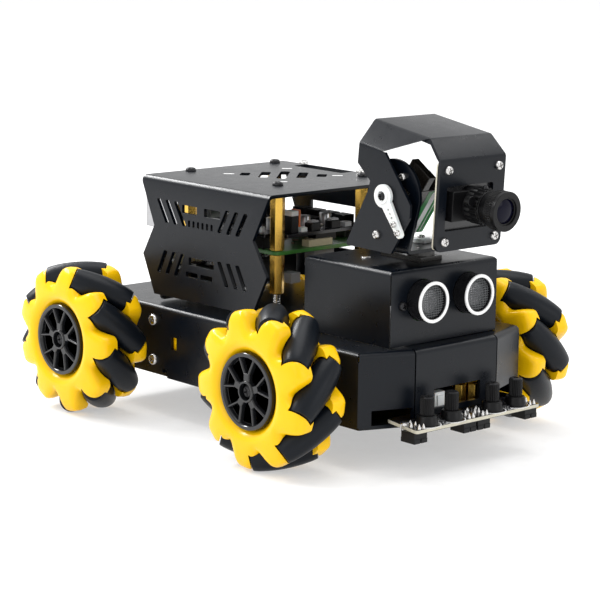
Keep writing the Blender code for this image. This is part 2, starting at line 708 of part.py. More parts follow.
def add_lens_barrel(glass):
    centre = (0.0, 0.0, LENS_Z)
    profile = [(-41.7, LENS_R), (-36.2, LENS_R), (-36.0, 6.9), (-33.0, 6.9), (-32.8, 5.6), (-25.0, 5.6)]
    barrel = place_on_tilt(to_object("lens_barrel", lathe(profile, "Y", 24, centre), glass))
    cut(barrel, [lathe([(-43.2, 5.6), (-41.5, 5.4), (-39.3, 3.2)], "Y", 20, centre)])
    smooth(barrel)


# ---------------------------------------------------------------- the robot


def clear_scene():
    for obj in list(bpy.data.objects):
        bpy.data.objects.remove(obj, do_unlink=True)


def build():
    clear_scene()
    metal = material("black_metal", (0.03, 0.032, 0.036), 0.42, 0.3)
    yellow = material("yellow_plastic", (0.95, 0.68, 0.02), 0.3)
    rubber = material("black_rubber", (0.025, 0.027, 0.032), 0.5)
    dark = material("dark_plastic", (0.02, 0.02, 0.022), 0.4)
    green = material("green_board", (0.04, 0.16, 0.05), 0.4)
    white = material("white_nylon", (0.85, 0.85, 0.83), 0.45)
    glass = material("lens_black", (0.01, 0.01, 0.02), 0.15)

    wheels = [
        ("wheel_front_right", -1, AXLE_FRONT_Y, FRONT_PHASE, 1.0),
        ("wheel_front_left", 1, AXLE_FRONT_Y, FRONT_PHASE, 1.0),
        ("wheel_rear_right", -1, AXLE_REAR_Y, REAR_PHASE, -1.0),
        ("wheel_rear_left", 1, AXLE_REAR_Y, REAR_PHASE, -1.0),
    ]
    for name, side, axle_y, phase, slant in wheels:
        add_wheel(name, side, axle_y, phase, slant, yellow, rubber)
        reach = 1.0 if axle_y < 0 else -1.0
        add_gearmotor(name.replace("wheel", "gearmotor"), side, axle_y, reach, yellow)

    add_base_cover(metal)
    add_bottom_plate(metal)
    add_battery_pack(dark)
    add_front_housing(metal)
    add_sonar_module(dark)
    add_line_sensor_board(dark)
    add_cage_cover(metal)
    add_computer_board(green)
    add_expansion_board(dark)
    add_pan_servo(dark)
    add_pan_bracket(metal)
    add_tilt_servo(dark)
    add_camera_hood(metal)
    add_tilt_horn(white)
    add_camera_module(dark)
    add_lens_barrel(glass)


build()
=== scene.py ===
"""Looks of the mecanum robot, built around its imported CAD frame.

Sizes are in millimetres until a mesh is written. The robot faces -Y, and +X is its own left.
"""

import json
from math import atan, atan2, copysign, cos, pi, radians, sin, sqrt, tan

import bmesh
import bpy
from mathutils import Matrix, Vector


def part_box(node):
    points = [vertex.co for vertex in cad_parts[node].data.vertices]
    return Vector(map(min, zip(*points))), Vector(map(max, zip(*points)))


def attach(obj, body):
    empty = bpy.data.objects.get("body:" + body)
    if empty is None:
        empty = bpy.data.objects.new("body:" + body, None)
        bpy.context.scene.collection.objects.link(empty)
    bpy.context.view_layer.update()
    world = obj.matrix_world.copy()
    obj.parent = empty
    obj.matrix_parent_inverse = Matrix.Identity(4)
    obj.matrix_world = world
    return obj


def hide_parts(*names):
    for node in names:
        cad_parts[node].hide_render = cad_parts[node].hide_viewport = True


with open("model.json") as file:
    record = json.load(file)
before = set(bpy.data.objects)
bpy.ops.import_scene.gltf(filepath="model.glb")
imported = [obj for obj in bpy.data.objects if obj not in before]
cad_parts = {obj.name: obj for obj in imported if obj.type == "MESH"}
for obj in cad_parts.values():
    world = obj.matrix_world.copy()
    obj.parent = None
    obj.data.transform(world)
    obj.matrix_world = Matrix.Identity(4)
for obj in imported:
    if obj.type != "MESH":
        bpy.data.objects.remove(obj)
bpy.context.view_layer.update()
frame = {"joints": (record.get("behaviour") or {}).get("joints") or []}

MM = 0.001
JOINTS = {joint["name"]: joint for joint in frame["joints"]}
IDENTITY = Matrix.Identity(4)
ORIGIN = (0, 0, 0)
SIDES = (-1, 1)

shift = Matrix.Translation


def spin(degrees, axis="Z"):
    return Matrix.Rotation(radians(degrees), 4, axis)


FROM_Z = {"X": spin(90, "Y"), "Y": spin(-90, "X"), "Z": IDENTITY}


class Box:
    """A CAD node's box in millimetres: x0, x1, y0, y1, z0, z1 and its middle."""

    def __init__(self, node):
        low, high = (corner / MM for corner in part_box(node))
        self.x0, self.y0, self.z0 = low
        self.x1, self.y1, self.z1 = high
        self.middle = (low + high) / 2


def joint_place(name):
    """A joint's position in millimetres and its axis."""
    joint = JOINTS[name]
    return Vector(joint["pos_m"]) / MM, Vector(joint["axis"])


# ---- camera and light

CAMERA_PLACE = (-589.7, -647.55, 221.33)
CAMERA_AZIMUTH, CAMERA_ELEVATION, CAMERA_ROLL = radians(-41.93), radians(10.93), radians(0.70)
CAMERA_LENS = 125.14
AIM = (0, 0, 0.05)


def add_camera():
    """The camera stands low in front of the robot's right side."""
    azimuth, elevation, roll = CAMERA_AZIMUTH, CAMERA_ELEVATION, CAMERA_ROLL
    back = Vector((sin(azimuth) * cos(elevation), -cos(azimuth) * cos(elevation), sin(elevation)))
    level = Vector((cos(azimuth), sin(azimuth), 0))
    upright = back.cross(level)
    right = level * cos(roll) + upright * sin(roll)
    up = upright * cos(roll) - level * sin(roll)
    camera = bpy.data.objects.new("Camera", bpy.data.cameras.new("Camera"))
    bpy.context.scene.collection.objects.link(camera)
    turn = Matrix((right, up, back)).transposed().to_4x4()
    camera.matrix_world = shift(Vector(CAMERA_PLACE) * MM) @ turn
    camera.data.lens = CAMERA_LENS
    camera.data.sensor_width = 36
    camera.data.clip_start = 0.01
    bpy.context.scene.camera = camera


def add_area_light(name, place, size, power):
    light = bpy.data.lights.new(name, "AREA")
    light.shape = "RECTANGLE"
    light.size, light.size_y = size
    light.energy = power
    lamp = bpy.data.objects.new(name, light)
    bpy.context.scene.collection.objects.link(lamp)
    lamp.location = place
    lamp.rotation_euler = (Vector(AIM) - Vector(place)).to_track_quat("-Z", "Y").to_euler()


def add_studio():
    """Pale glowing floor, white surroundings and soft lights."""
    world = bpy.data.worlds.new("Studio")
    bpy.context.scene.world = world
    world.use_nodes = True
    bpy.context.scene.view_settings.view_transform = "Standard"
    background = world.node_tree.nodes["Background"]
    background.inputs["Color"].default_value = (1, 1, 1, 1)
    background.inputs["Strength"].default_value = 1
    bm = bmesh.new()
    bmesh.ops.create_grid(bm, x_segments=1, y_segments=1, size=6000)
    floor = write_mesh("studio_floor", bm)
    glow = {"Emission_Color": (1, 1, 1, 1), "Emission_Strength": 0.45}
    floor.data.materials.append(surface("floor", (0.52, 0.52, 0.52), 0.85, bump=0, **glow))
    add_area_light("Top", (0.1, 0, 1), (0.8, 0.6), 4)
    add_area_light("Left", (-1, -0.2, 0.5), (0.4, 0.6), 1)
    add_area_light("Front", (0.3, -1.1, 0.4), (0.5, 0.5), 1.2)
    add_area_light("Back", (-0.24, 0.95, 0.86), (1.1, 0.16), 17)
    add_area_light("Edge", (0.80, -0.23, 0.88), (0.5, 0.12), 0.7)


# ---- materials


def surface(
    name, color, roughness, grain=900, bump=0.05, vary=0.06, tone=0.06, specular=0.5, coat=0, **inputs
):
    """Procedural finish: fine grain in the bump, broad unevenness in roughness and a little in tone.

    More shader inputs are given by name, with _ for a space.
    """
    made = bpy.data.materials.new(name)
    made.use_nodes = True
    nodes, link = made.node_tree.nodes, made.node_tree.links.new

    def fill(node, values):
        for socket, value in values.items():
            node.inputs[socket].default_value = value
        return node

    values = {"Specular IOR Level": specular, "Coat Weight": coat, "Coat Roughness": 0.12}
    values.update({socket.replace("_", " "): value for socket, value in inputs.items()})
    shader = fill(nodes["Principled BSDF"], values)
    place = nodes.new("ShaderNodeTexCoord").outputs["Object"]
    broad = fill(nodes.new("ShaderNodeTexNoise"), {"Scale": grain / 12, "Detail": 4})
    link(place, broad.inputs["Vector"])
    spread = {"To Min": max(0.02, roughness - vary), "To Max": roughness + vary}
    rough = fill(nodes.new("ShaderNodeMapRange"), spread)
    link(broad.outputs["Fac"], rough.inputs["Value"])
    link(rough.outputs["Result"], shader.inputs["Roughness"])
    ramp = nodes.new("ShaderNodeValToRGB")
    for stop, position, factor in zip(ramp.color_ramp.elements, (0.3, 0.7), (1 - tone, 1 + tone)):
        stop.position = position
        stop.color = (*[min(1, c * factor) for c in color], 1)
    link(broad.outputs["Fac"], ramp.inputs["Fac"])
    link(ramp.outputs["Color"], shader.inputs["Base Color"])
    if bump:
        fine = fill(nodes.new("ShaderNodeTexNoise"), {"Scale": grain, "Detail": 3})
        link(place, fine.inputs["Vector"])
        height = fill(nodes.new("ShaderNodeBump"), {"Strength": bump, "Distance": 0.0004})
        link(fine.outputs["Fac"], height.inputs["Height"])
        link(height.outputs["Normal"], shader.inputs["Normal"])
    return made


FINISH = {}


def add_finish(name, slot, color, roughness, *texture, **options):
    """A finish with the usual slot of its pieces; texture is surface's grain, bump, vary and tone."""
    FINISH[name] = surface(name, color, roughness, *texture, **options), slot


def add_finishes():
    add_finish("metal", "black_metal", (0.0015, 0.003, 0.006), 0.29, 2600, 0.10, 0.05, specular=0.25)
    add_finish("yellow", "yellow_plastic", (0.91, 0.53, 0.002), 0.24, 500, 0.03, 0.05, specular=0.25)
    add_finish("rubber", "black_rubber", (0.003, 0.0048, 0.008), 0.38, 1500, 0.14, specular=0.2)
    hub = (0.008, 0.0085, 0.010)
    add_finish("hub", "dark_plastic", hub, 0.14, 900, 0.03, 0.05, specular=0.4, coat=0.2)
    add_finish("pocket", "dark_plastic", (0.006, 0.006, 0.008), 0.25, 900, 0.03, 0.05, coat=0.3)
    add_finish("can", "dark_plastic", (0.008, 0.008, 0.009), 0.2)
    add_finish("dark", "dark_plastic", (0.003, 0.003, 0.0035), 0.34, 1800, 0.10, specular=0.22)
    add_finish("servo", "dark_plastic", (0.014, 0.012, 0.010), 0.2, 900, 0.03, 0.05)
    green = (0.055, 0.22, 0.04)
    add_finish("board_green", "green_board", green, 0.3, 700, 0.05, 0.05, 0.3, coat=0.2)
    add_finish("board_black", "green_board", (0.008, 0.008, 0.010), 0.26, 700, 0.05, 0.05, coat=0.2)
    add_finish("board_edge", "dark_plastic", (0.55, 0.52, 0.42), 0.6, 2500, 0.1, 0.06, 0.12)
    add_finish("brass", "brass_post", (0.74, 0.46, 0.09), 0.24, 2200, 0.05, 0.07, 0.1, Metallic=1)
    add_finish("steel", "bright_steel", (0.62, 0.61, 0.60), 0.24, 1600, 0.04, Metallic=1)
    add_finish("socket", "bright_steel", (0.42, 0.42, 0.43), 0.3, 1600, Metallic=1)
    add_finish("black_steel", "bright_steel", (0.02, 0.02, 0.022), 0.3, 1600, 0.04, Metallic=0.6)
    add_finish("nylon", "white_nylon", (0.86, 0.86, 0.84), 0.42, Subsurface_Weight=0.1)
    add_finish("white", "white_nylon", (0.88, 0.88, 0.88), 0.5, 900, 0.03)
    add_finish("cream", "white_nylon", (0.52, 0.46, 0.30), 0.45)
    add_finish("grey", "dark_plastic", (0.32, 0.32, 0.33), 0.4)
    add_finish("mesh", "bright_steel", (0.12, 0.125, 0.13), 0.4, 1200, 0.1, 0.08, Metallic=0.6)
    add_finish("label", "green_board", (0.03, 0.26, 0.06), 0.35, 900, 0.03, coat=0.3)
    add_finish("lens", "lens_black", (0.002, 0.002, 0.010), 0.04, 600, 0, 0.02, specular=0.12)
    add_finish("orange", "dark_plastic", (0.85, 0.18, 0.03), 0.4)


# ---- making meshes


def write_mesh(name, bm):
    """Write a bmesh in millimetres to a linked object in metres."""
    bmesh.ops.recalc_face_normals(bm, faces=bm.faces)
    bmesh.ops.scale(bm, vec=(MM, MM, MM), verts=bm.verts)
    mesh = bpy.data.meshes.new(name)
    bm.to_mesh(mesh)
    bm.free()
    obj = bpy.data.objects.new(name, mesh)
    bpy.context.scene.collection.objects.link(obj)
    return obj


def as_bmesh(obj):
    """An object's mesh as a bmesh in millimetres; the object goes."""
    bm = bmesh.new()
    bm.from_mesh(obj.data)
    bmesh.ops.scale(bm, vec=(1 / MM, 1 / MM, 1 / MM), verts=bm.verts)
    bpy.data.objects.remove(obj)
    return bm


def carve(obj, tools, operation="DIFFERENCE"):
    """Boolean the object with bmesh tools in millimetres, and keep the result as its mesh."""
    tool = write_mesh("tool", joined(tools))
    modifier = obj.modifiers.new("Boolean", "BOOLEAN")
    modifier.operation = operation
    modifier.solver = "EXACT"
    modifier.object = tool
    bpy.context.view_layer.update()
    graph = bpy.context.evaluated_depsgraph_get()
    result = bpy.data.meshes.new_from_object(obj.evaluated_get(graph))
    obj.modifiers.clear()
    old = obj.data
    obj.data = result
    bpy.data.meshes.remove(old)
    bpy.data.objects.remove(tool)


def joined(pieces):
    """Several bmeshes as the shells of one."""
    bm = bmesh.new()
    for piece in pieces:
        mesh = bpy.data.meshes.new("shell")
        bmesh.ops.recalc_face_normals(piece, faces=piece.faces)
        piece.to_mesh(mesh)
        piece.free()
        bm.from_mesh(mesh)
        bpy.data.meshes.remove(mesh)
    return bm


def ease_edges(obj, width, angle):
    modifier = obj.modifiers.new("Edges", "BEVEL")
    modifier.width = width * MM
    modifier.segments = 2
    modifier.limit_method = "ANGLE"
    modifier.angle_limit = radians(angle)
    modifier.harden_normals = True


def finish_piece(obj, finish, body="chassis", slot=None, replaces=None, bevel=0, smooth=38):
    """Material, shading, eased edges and body of a piece; the slot argument is not used."""
    material, usual_slot = FINISH[finish]
    obj.data.materials.clear()
    obj.data.materials.append(material)
    obj.data.shade_smooth()
    obj.data.set_sharp_from_angle(angle=radians(smooth))
    if bevel:
        ease_edges(obj, bevel, smooth)
    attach(obj, body)
    if replaces:
        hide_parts(replaces)


def add_piece(name, shells, finish, body="chassis", place=IDENTITY, **options):
    """A finished piece from bmeshes in millimetres, placed by a matrix in millimetres."""
    bm = joined(shells)
    bm.transform(place)
    finish_piece(write_mesh(name, bm), finish, body, **options)


def add_sheet(node, obj, body="chassis", bevel=0.2):
    """The object as the black sheet that replaces a CAD node."""
    obj.name = node + "_sheet"
    finish_piece(obj, "metal", body, replaces=node, bevel=bevel, smooth=32)


def loft(rings, closed=False):
    """A closed solid through rings of points; closed joins the last ring to the first, without ends."""
    bm = bmesh.new()
    loops = [[bm.verts.new(point) for point in ring] for ring in rings]
    if closed:
        loops.append(loops[0])
    else:
        bm.faces.new(loops[0])
        bm.faces.new(loops[-1])
    for first, second in zip(loops, loops[1:]):
        for k in range(len(first)):
            n = (k + 1) % len(first)
            bm.faces.new((first[k], first[n], second[n], second[k]))
    return bm


def prism(outline, axis, low, high):
    """A closed prism; the outline's points are in the order of the other two axes."""
    order = {"X": (2, 0, 1), "Y": (0, 2, 1), "Z": (0, 1, 2)}[axis]
    return loft([[[(a, b, along)[k] for k in order] for a, b in outline] for along in (low, high)])


def rectangle(a0, a1, b0, b1):
    return [(a0, b0), (a1, b0), (a1, b1), (a0, b1)]


def box(x0, x1, y0, y1, z0, z1):
    return prism(rectangle(x0, x1, y0, y1), "Z", z0, z1)


def polar(radius, angle):
    return radius * cos(angle), radius * sin(angle)


def lathe(profile, axis="Z", segments=32, centre=ORIGIN, closed=False):
    """A turned solid: the profile's points are (along the axis, radius)."""
    place = shift(centre) @ FROM_Z[axis]
    angles = [2 * pi * k / segments for k in range(segments)]
    rings = [[place @ Vector((*polar(radius, a), along)) for a in angles] for along, radius in profile]
    return loft(rings, closed)


def rod(axis, low, high, radius, centre=ORIGIN, segments=24):
    return lathe([(low, radius), (high, radius)], axis, segments, centre)


def tube(axis, low, high, outer, inner, centre=ORIGIN, segments=48):
    """A hollow turned ring with slightly eased edges."""
    ease = min(0.2, (outer - inner) / 4)
    section = [(low, inner + ease), (low, outer - ease), (low + ease, outer), (high - ease, outer)]
    section += [(high, outer - ease), (high, inner + ease), (high - ease, inner), (low + ease, inner)]
    return lathe(section, axis, segments, centre, closed=True)


def knurled(axis, low, high, radius, depth, teeth, centre=ORIGIN):
    """A closed grip ring whose rim has straight ridges along its axis."""
    count = 4 * teeth
    outline = [polar(radius if k % 4 < 2 else radius - depth, 2 * pi * k / count) for k in range(count)]
    bm = prism(outline, "Z", low, high)
    bm.transform(shift(centre) @ FROM_Z[axis])
    return bm


def hex_post(x, y, low, high, radius, turn=0):
    outline = [polar(radius, radians(60 * k + turn)) for k in range(6)]
    return prism([(x + a, y + b) for a, b in outline], "Z", low, high)


def chip(x, y, z, length, width, tall):
    """A box about x and y that stands on z."""
    return box(x - length / 2, x + length / 2, y - width / 2, y + width / 2, z, z + tall)


def rounded(points, radius, steps=5):
    """An outline with each corner rounded by an arc; radius is one number or one per corner."""
    out = []
    for k, point in enumerate(points):
        r = radius[k] if isinstance(radius, list) else radius
        here = Vector(point)
        if r <= 0:
            out.append(tuple(here))
            continue
        before = (Vector(points[k - 1]) - here).normalized()
        after = (Vector(points[(k + 1) % len(points)]) - here).normalized()
        half = before.angle(after) / 2
        centre = here + (before + after).normalized() * (r / sin(half))
        start = here + before * (r / tan(half)) - centre
        end = here + after * (r / tan(half)) - centre
        sweep = start.angle_signed(end)
        for step in range(steps + 1):
            c, s = polar(1, -sweep * step / steps)
            out.append((centre.x + start.x * c - start.y * s, centre.y + start.x * s + start.y * c))
    return out


def rounded_prism(axis, sides, radius, low, high, steps=5):
    """A prism on a rectangle, given by its sides, with rounded corners."""
    return prism(rounded(rectangle(*sides), radius, steps), axis, low, high)


def inset_polygon(points, distance):
    """The outline drawn in by a distance; points run anticlockwise."""
    out = []
    for k, point in enumerate(points):
        here = Vector(point)
        before = (here - Vector(points[k - 1])).normalized()
        after = (Vector(points[(k + 1) % len(points)]) - here).normalized()
        normals = [Vector((-d.y, d.x)) for d in (before, after)]
        lean = (normals[0] + normals[1]).normalized()
        out.append(tuple(here + lean * (distance / lean.dot(normals[0]))))
    return out


def screw(kind, radius):
    """A cross-recess screw head that stands up along Z from its seat at the origin."""
    tall, flat = {"pan": (1.5, 0.62), "dome": (1.5, 0.6), "flat": (1, 0.8)}[kind]
    profile = [(-0.6, radius * 0.9), (0, radius)]
    for step in range(1, 6):
        angle = radians(18 * step)
        profile.append((tall * sin(angle), radius * (flat + (1 - flat) * cos(angle))))
    head = write_mesh("screw", lathe(profile, "Z", 28))
    arm, half = radius * 0.62, radius * 0.13
    for turn in (0, 90):
        slot = box(-arm, arm, -half, half, tall * 0.45, tall + 1)
        slot.transform(spin(turn))
        carve(head, [slot])
    return as_bmesh(head)


def add_screws(name, seats, finish="steel", kind="pan", radius=2.3, body="chassis"):
    """Screw heads at seats: (place, direction they face, turn of the cross), in one piece."""
    pattern = screw(kind, radius)
    shells = []
    for place, facing, turn in seats:
        copy = pattern.copy()
        aim = Vector(facing).to_track_quat("Z", "Y").to_matrix().to_4x4()
        copy.transform(shift(place) @ aim @ spin(turn))
        shells.append(copy)
    pattern.free()
    add_piece(name, shells, finish, body)


# ---- wheels

WHEEL_NAMES = ("front_right", "front_left", "rear_right", "rear_left")
WHEEL_CENTRES = {wheel: joint_place("wheel_%s_spin" % wheel)[0] for wheel in WHEEL_NAMES}
WHEEL_R = 32.5
WHEEL_HALF = 13.5
PLATE_POINTS = 216
LOBE_LEAD = 23
ROLLERS = 9
ROLLER_PITCH = 360 / ROLLERS
ROLLER_AXIS_R = 26.2
ROLLER_HALF = 13
ROLLER_ROOM = 0.45
ROLLER_TURN = 5.6
HUB_R = 15.4
HUB_FLOOR = 10.5


def roller_radius(along):
    """Distance from a point along the roller's axis out to the wheel's tread circle."""
    reach = sqrt(ROLLER_AXIS_R**2 + along**2 / 2)
    steep = sqrt(4 * ROLLER_AXIS_R**2 + along**2)
    return (WHEEL_R / reach - 1) * (2 * ROLLER_AXIS_R**2 + along**2) / steep


def roller_barrel(extra=0, steps=12):
    """Profile of the rubber barrel, grown by extra where it cuts the roller's room."""
    points = []
    for k in range(steps + 1):
        share = 2 * k / steps - 1
        points.append((share * (ROLLER_HALF + extra), roller_radius(share * ROLLER_HALF) + extra))
    return points


def rubber_roller():
    """Barrel with rounded end edges and a small hollow in each end."""
    edge = roller_radius(ROLLER_HALF)
    end = [(-ROLLER_HALF + 0.4, 1.7), (-ROLLER_HALF, 2), (-ROLLER_HALF, edge - 0.55)]
    end += [(-ROLLER_HALF + 0.16, edge - 0.14), (-ROLLER_HALF + 0.6, edge + 0.03)]
    tail = [(-along, radius) for along, radius in reversed(end)]
    return lathe(end + roller_barrel()[1:-1] + tail)


def standing(outward, axis):
    """Matrix that turns Z to the axis and X outward."""
    return Matrix((outward, axis.cross(outward), axis)).transposed().to_4x4()


def add_rollers():
    """The rubber rollers, each on its own joint's axis."""
    pattern = rubber_roller()
    own_turn = spin(ROLLER_TURN)
    for wheel in WHEEL_NAMES:
        for k in range(ROLLERS):
            node = "roller_%s_%d" % (wheel, k + 1)
            place, axis = joint_place(node + "_spin")
            turn = standing((place - WHEEL_CENTRES[wheel]).normalized(), axis) @ own_turn
            spot = shift(place) @ turn
            add_piece(node + "_rubber", [pattern.copy()], "rubber", node, spot, replaces=node, smooth=40)
    pattern.free()


def lobe_wave(turn):
    """Height of the lobed outline from 0 in a valley to 1 on a tip, over one lobe."""
    turn = turn % 1
    rise, top = 0.42, 0.62
    if turn < rise:
        return 0.5 - 0.5 * cos(pi * turn / rise)
    if turn < top:
        return 1
    return 0.5 + 0.5 * cos(pi * (turn - top) / (1 - top))


def wheel_plates():
    """Hub drum with its two dished, lobed plates, for a roller at phase 0 whose inner end leads."""
    # Distance from the middle plane, radius at a lobe's tip, and depth of the valleys.
    rows = [
        (7.6, HUB_R - 0.2, 0), (9.9, HUB_R, 0), (10.5, HUB_R + 0.25, 0), (11.9, HUB_R + 1.5, 0),
        (12.9, HUB_R + 2.7, 0), (13.4, HUB_R + 3.9, 0), (WHEEL_HALF, HUB_R + 5.2, 0.2), (13.4, 22.8, 1.6),
        (13.1, 25.4, 3.4), (12.6, 28.2, 5.2), (12, 30, 6.5), (11.2, 31.1, 7.1), (9.9, 31.7, 7.5),
        (7.6, 31.8, 7.8), (4.6, 31.3, 7.9), (3.6, 19, 0),
    ]
    faces = [(x, radius, depth, 1) for x, radius, depth in rows]
    faces += [(-x, radius, depth, -1) for x, radius, depth in reversed(rows)]
    rings = []
    for x, radius, depth, side in faces:
        ring = []
        for k in range(PLATE_POINTS):
            degrees = 360 * k / PLATE_POINTS
            wave = lobe_wave((-degrees * side - LOBE_LEAD) / ROLLER_PITCH + 0.5)
            y, z = polar(radius - depth * (1 - wave), radians(degrees))
            ring.append((-x, -y, z))
        rings.append(ring)
    return loft(rings)


def wheel_body():
    """The yellow wheel with room cut for its rollers, as a bmesh at phase 0."""
    wheel = write_mesh("wheel_pattern", wheel_plates())
    room = []
    for k in range(ROLLERS):
        theta = radians(k * ROLLER_PITCH)
        outward = Vector((0, -cos(theta), sin(theta)))
        along = Vector((1, sin(theta), cos(theta))).normalized()
        cutter = lathe(roller_barrel(ROLLER_ROOM, 8), "Z", 40)
        cutter.transform(shift(outward * ROLLER_AXIS_R) @ standing(outward, along))
        room.append(cutter)
    carve(wheel, room)
    return as_bmesh(wheel)


def hub_insert():
    """Rim, boss and five forked spokes of the dark hub insert; it faces -X from the origin."""
    rim = [(-0.4, 13.1), (-2.2, 13.5), (-2.6, 13.9), (-2.6, 15.1), (-2.2, 15.45), (-0.4, 15.45)]
    boss = [(-0.2, 4.6), (-2.4, 4.4), (-2.8, 4.1), (-2.8, 3.4), (-0.2, 3.2)]
    parts = [lathe(rim, "X", 72), lathe(boss, "X", 40)]
    for fork in range(5):
        angle = radians(18 + 72 * fork)
        ray = Vector(polar(1, angle))
        across = Vector((-ray.y, ray.x))
        parts.append(rib(ray * 4, ray * 7.2, 3.2))
        for side in SIDES:
            tip = Vector(polar(13.6, angle + side * radians(18)))
            parts.append(rib(ray * 6.8 + across * (side * 1.1), tip, 1.1))
    return parts


def rib(start, end, width):
    """A raised rib on the hub insert between two points (y, z), narrower at its crest."""
    along = (end - start).normalized()
    across = Vector((-along.y, along.x))
    rings = []
    for x, half in ((-0.2, width / 2 + 0.25), (-1.9, width / 2), (-2.3, width / 2 - 0.3)):
        corners = (start + across * half, start - across * half, end - across * half, end + across * half)
        rings.append([(x, *corner) for corner in corners])
    return loft(rings)


def add_wheels():
    pattern = wheel_body()
    for wheel in WHEEL_NAMES:
        node = "wheel_" + wheel
        centre = WHEEL_CENTRES[wheel]
        place, axis = joint_place("roller_%s_1_spin" % wheel)
        side = copysign(1, centre.x)
        reach = place - centre
        flip = Matrix.Diagonal((1, 1, -side * copysign(1, axis.x), 1))
        turn = Matrix.Rotation(-atan2(reach.z, -reach.y), 4, "X")
        spot = shift(centre) @ Matrix.Diagonal((-side, 1, 1, 1))
        add_piece(
            node + "_plates", [pattern.copy()], "yellow", node, spot @ turn @ flip,
            replaces=node, bevel=0.35, smooth=34,
        )
        face = spot @ shift((-HUB_FLOOR, 0, 0))
        add_piece(node + "_hub_insert", hub_insert(), "hub", node, face, bevel=0.12, smooth=40)
        floor = rod("X", -0.25, 0.3, HUB_R - 0.5, segments=64)
        add_piece(node + "_hub_floor", [floor], "pocket", node, face, smooth=40)
        seat = centre + Vector((side * (HUB_FLOOR + 0.4), 0, 0))
        add_screws(node + "_screw", [(seat, (side, 0, 0), 20)], "black_steel", "pan", 2.6, node)
        shaft = rod("X", 3, 24, 2.6)
        boss = lathe([(3, 5.2), (16.4, 5.2), (17.4, 4.6)], "X", 28)
        add_piece(node + "_shaft", [shaft, boss], "nylon", node, spot, smooth=40)
    pattern.free()


# ---- sheet metal

SHEET = 1.5
HOLES_X = (-17.5, 31.5)
HOLES_Y = (4.3, 62.3)
SONAR_X = 13
SLOT_TURN = 43.5
SLOT_WIDTH = 4.2
FACE_X = 23.3
MOTOR_SCREWS_Y = 25.3
MOTOR_SCREWS_Z = (23.75, 41.25)


def folded_box(outline, inner, z0, z1, bend=2.2):
    """An upturned tray with a rounded bend round its roof, open below."""
    shells = []
    for points, low, top, radius in ((outline, z0, z1, bend), (inner, z0 - 5, z1 - SHEET, bend - SHEET)):
        bm = prism(points, "Z", low, top)
        roof = [edge for edge in bm.edges if all(abs(v.co.z - top) < 0.01 for v in edge.verts)]
        bmesh.ops.bevel(bm, geom=roof, offset=radius, segments=6, profile=0.5, affect="EDGES")
        shells.append(bm)
    tray = write_mesh("tray", shells[0])
    carve(tray, [shells[1]])
    return tray


def corner_slit(x, y, outward, z0, z1, width=0.6):
    """A thin cutter along an upright corner, where two folded walls meet."""
    slit = box(-width / 2, width / 2, -3, 3, z0, z1)
    turn = Matrix.Rotation(atan2(-outward[0], outward[1]), 4, "Z")
    slit.transform(shift((x, y, 0)) @ turn)
    return slit


def add_base():
    base = Box("base_cover")
    face_y, chamfer_y = base.y0, base.y0 + 8.7
    outline = [(FACE_X, face_y), (base.x1, chamfer_y), (base.x1, base.y1)]
    outline += [(-x, y) for x, y in reversed(outline)]
    cover = folded_box(outline, inset_polygon(outline, SHEET), base.z0, base.z1)
    low, nose_y = base.z0 - 6, chamfer_y + 0.5
    # Steps in the walls' lower edges: x and y of each, and the height that it takes away.
    steps = [
        (-60, 60, 45.8, 120, 1.8), (-60, 60, 43, 46, 3.7), (-40.5, 40.5, -100, nose_y, 3.6),
        (FACE_X + 0.5, 40.5, -100, nose_y, 8), (-40.5, -FACE_X - 0.5, -100, nose_y, 8),
    ]
    steps += [(x - 9, x + 9, face_y - 9, chamfer_y + 14, 1.5) for x in (base.x1, base.x0)]
    for *sides, height in steps:
        carve(cover, [box(*sides, low, base.z0 + height)])
    tools = [corner_slit(side * FACE_X, face_y, (side * 0.2, -1), low, base.z1 + 2) for side in SIDES]
    for side in SIDES:
        tools.append(corner_slit(side * base.x1, chamfer_y, (side, -0.8), base.z1 - 3.4, base.z1 + 2))
    tools.append(box(-12.6, 13.8, face_y - 5, face_y + 5, base.z0 + 6.1, base.z0 + 13.9))
    tools += [box(x - 8, x + 8, 36.5, 40.3, 30, 35.5) for x in (base.x0, base.x1)]
    seats = []
    for centre in WHEEL_CENTRES.values():
        wall_x = copysign(base.x1, centre.x)
        tools.append(rod("X", -5, 5, 6.4, (wall_x, centre.y, centre.z)))
        y = centre.y - copysign(MOTOR_SCREWS_Y, centre.y)
        seats += [((wall_x, y, z), (copysign(1, centre.x), 0, 0), 30 + z) for z in MOTOR_SCREWS_Z]
    tools.append(rounded_prism("Y", (-12, 12, 26, 38), 1.5, base.y1 - 5, base.y1 + 5))
    tools.append(rounded_prism("Z", (-8, 8, -18, -4), 2, base.z1 - 8, base.z1 + 8))
    carve(cover, tools)
    add_sheet("base_cover", cover)
    add_screws("motor_screws", seats, radius=2.5)


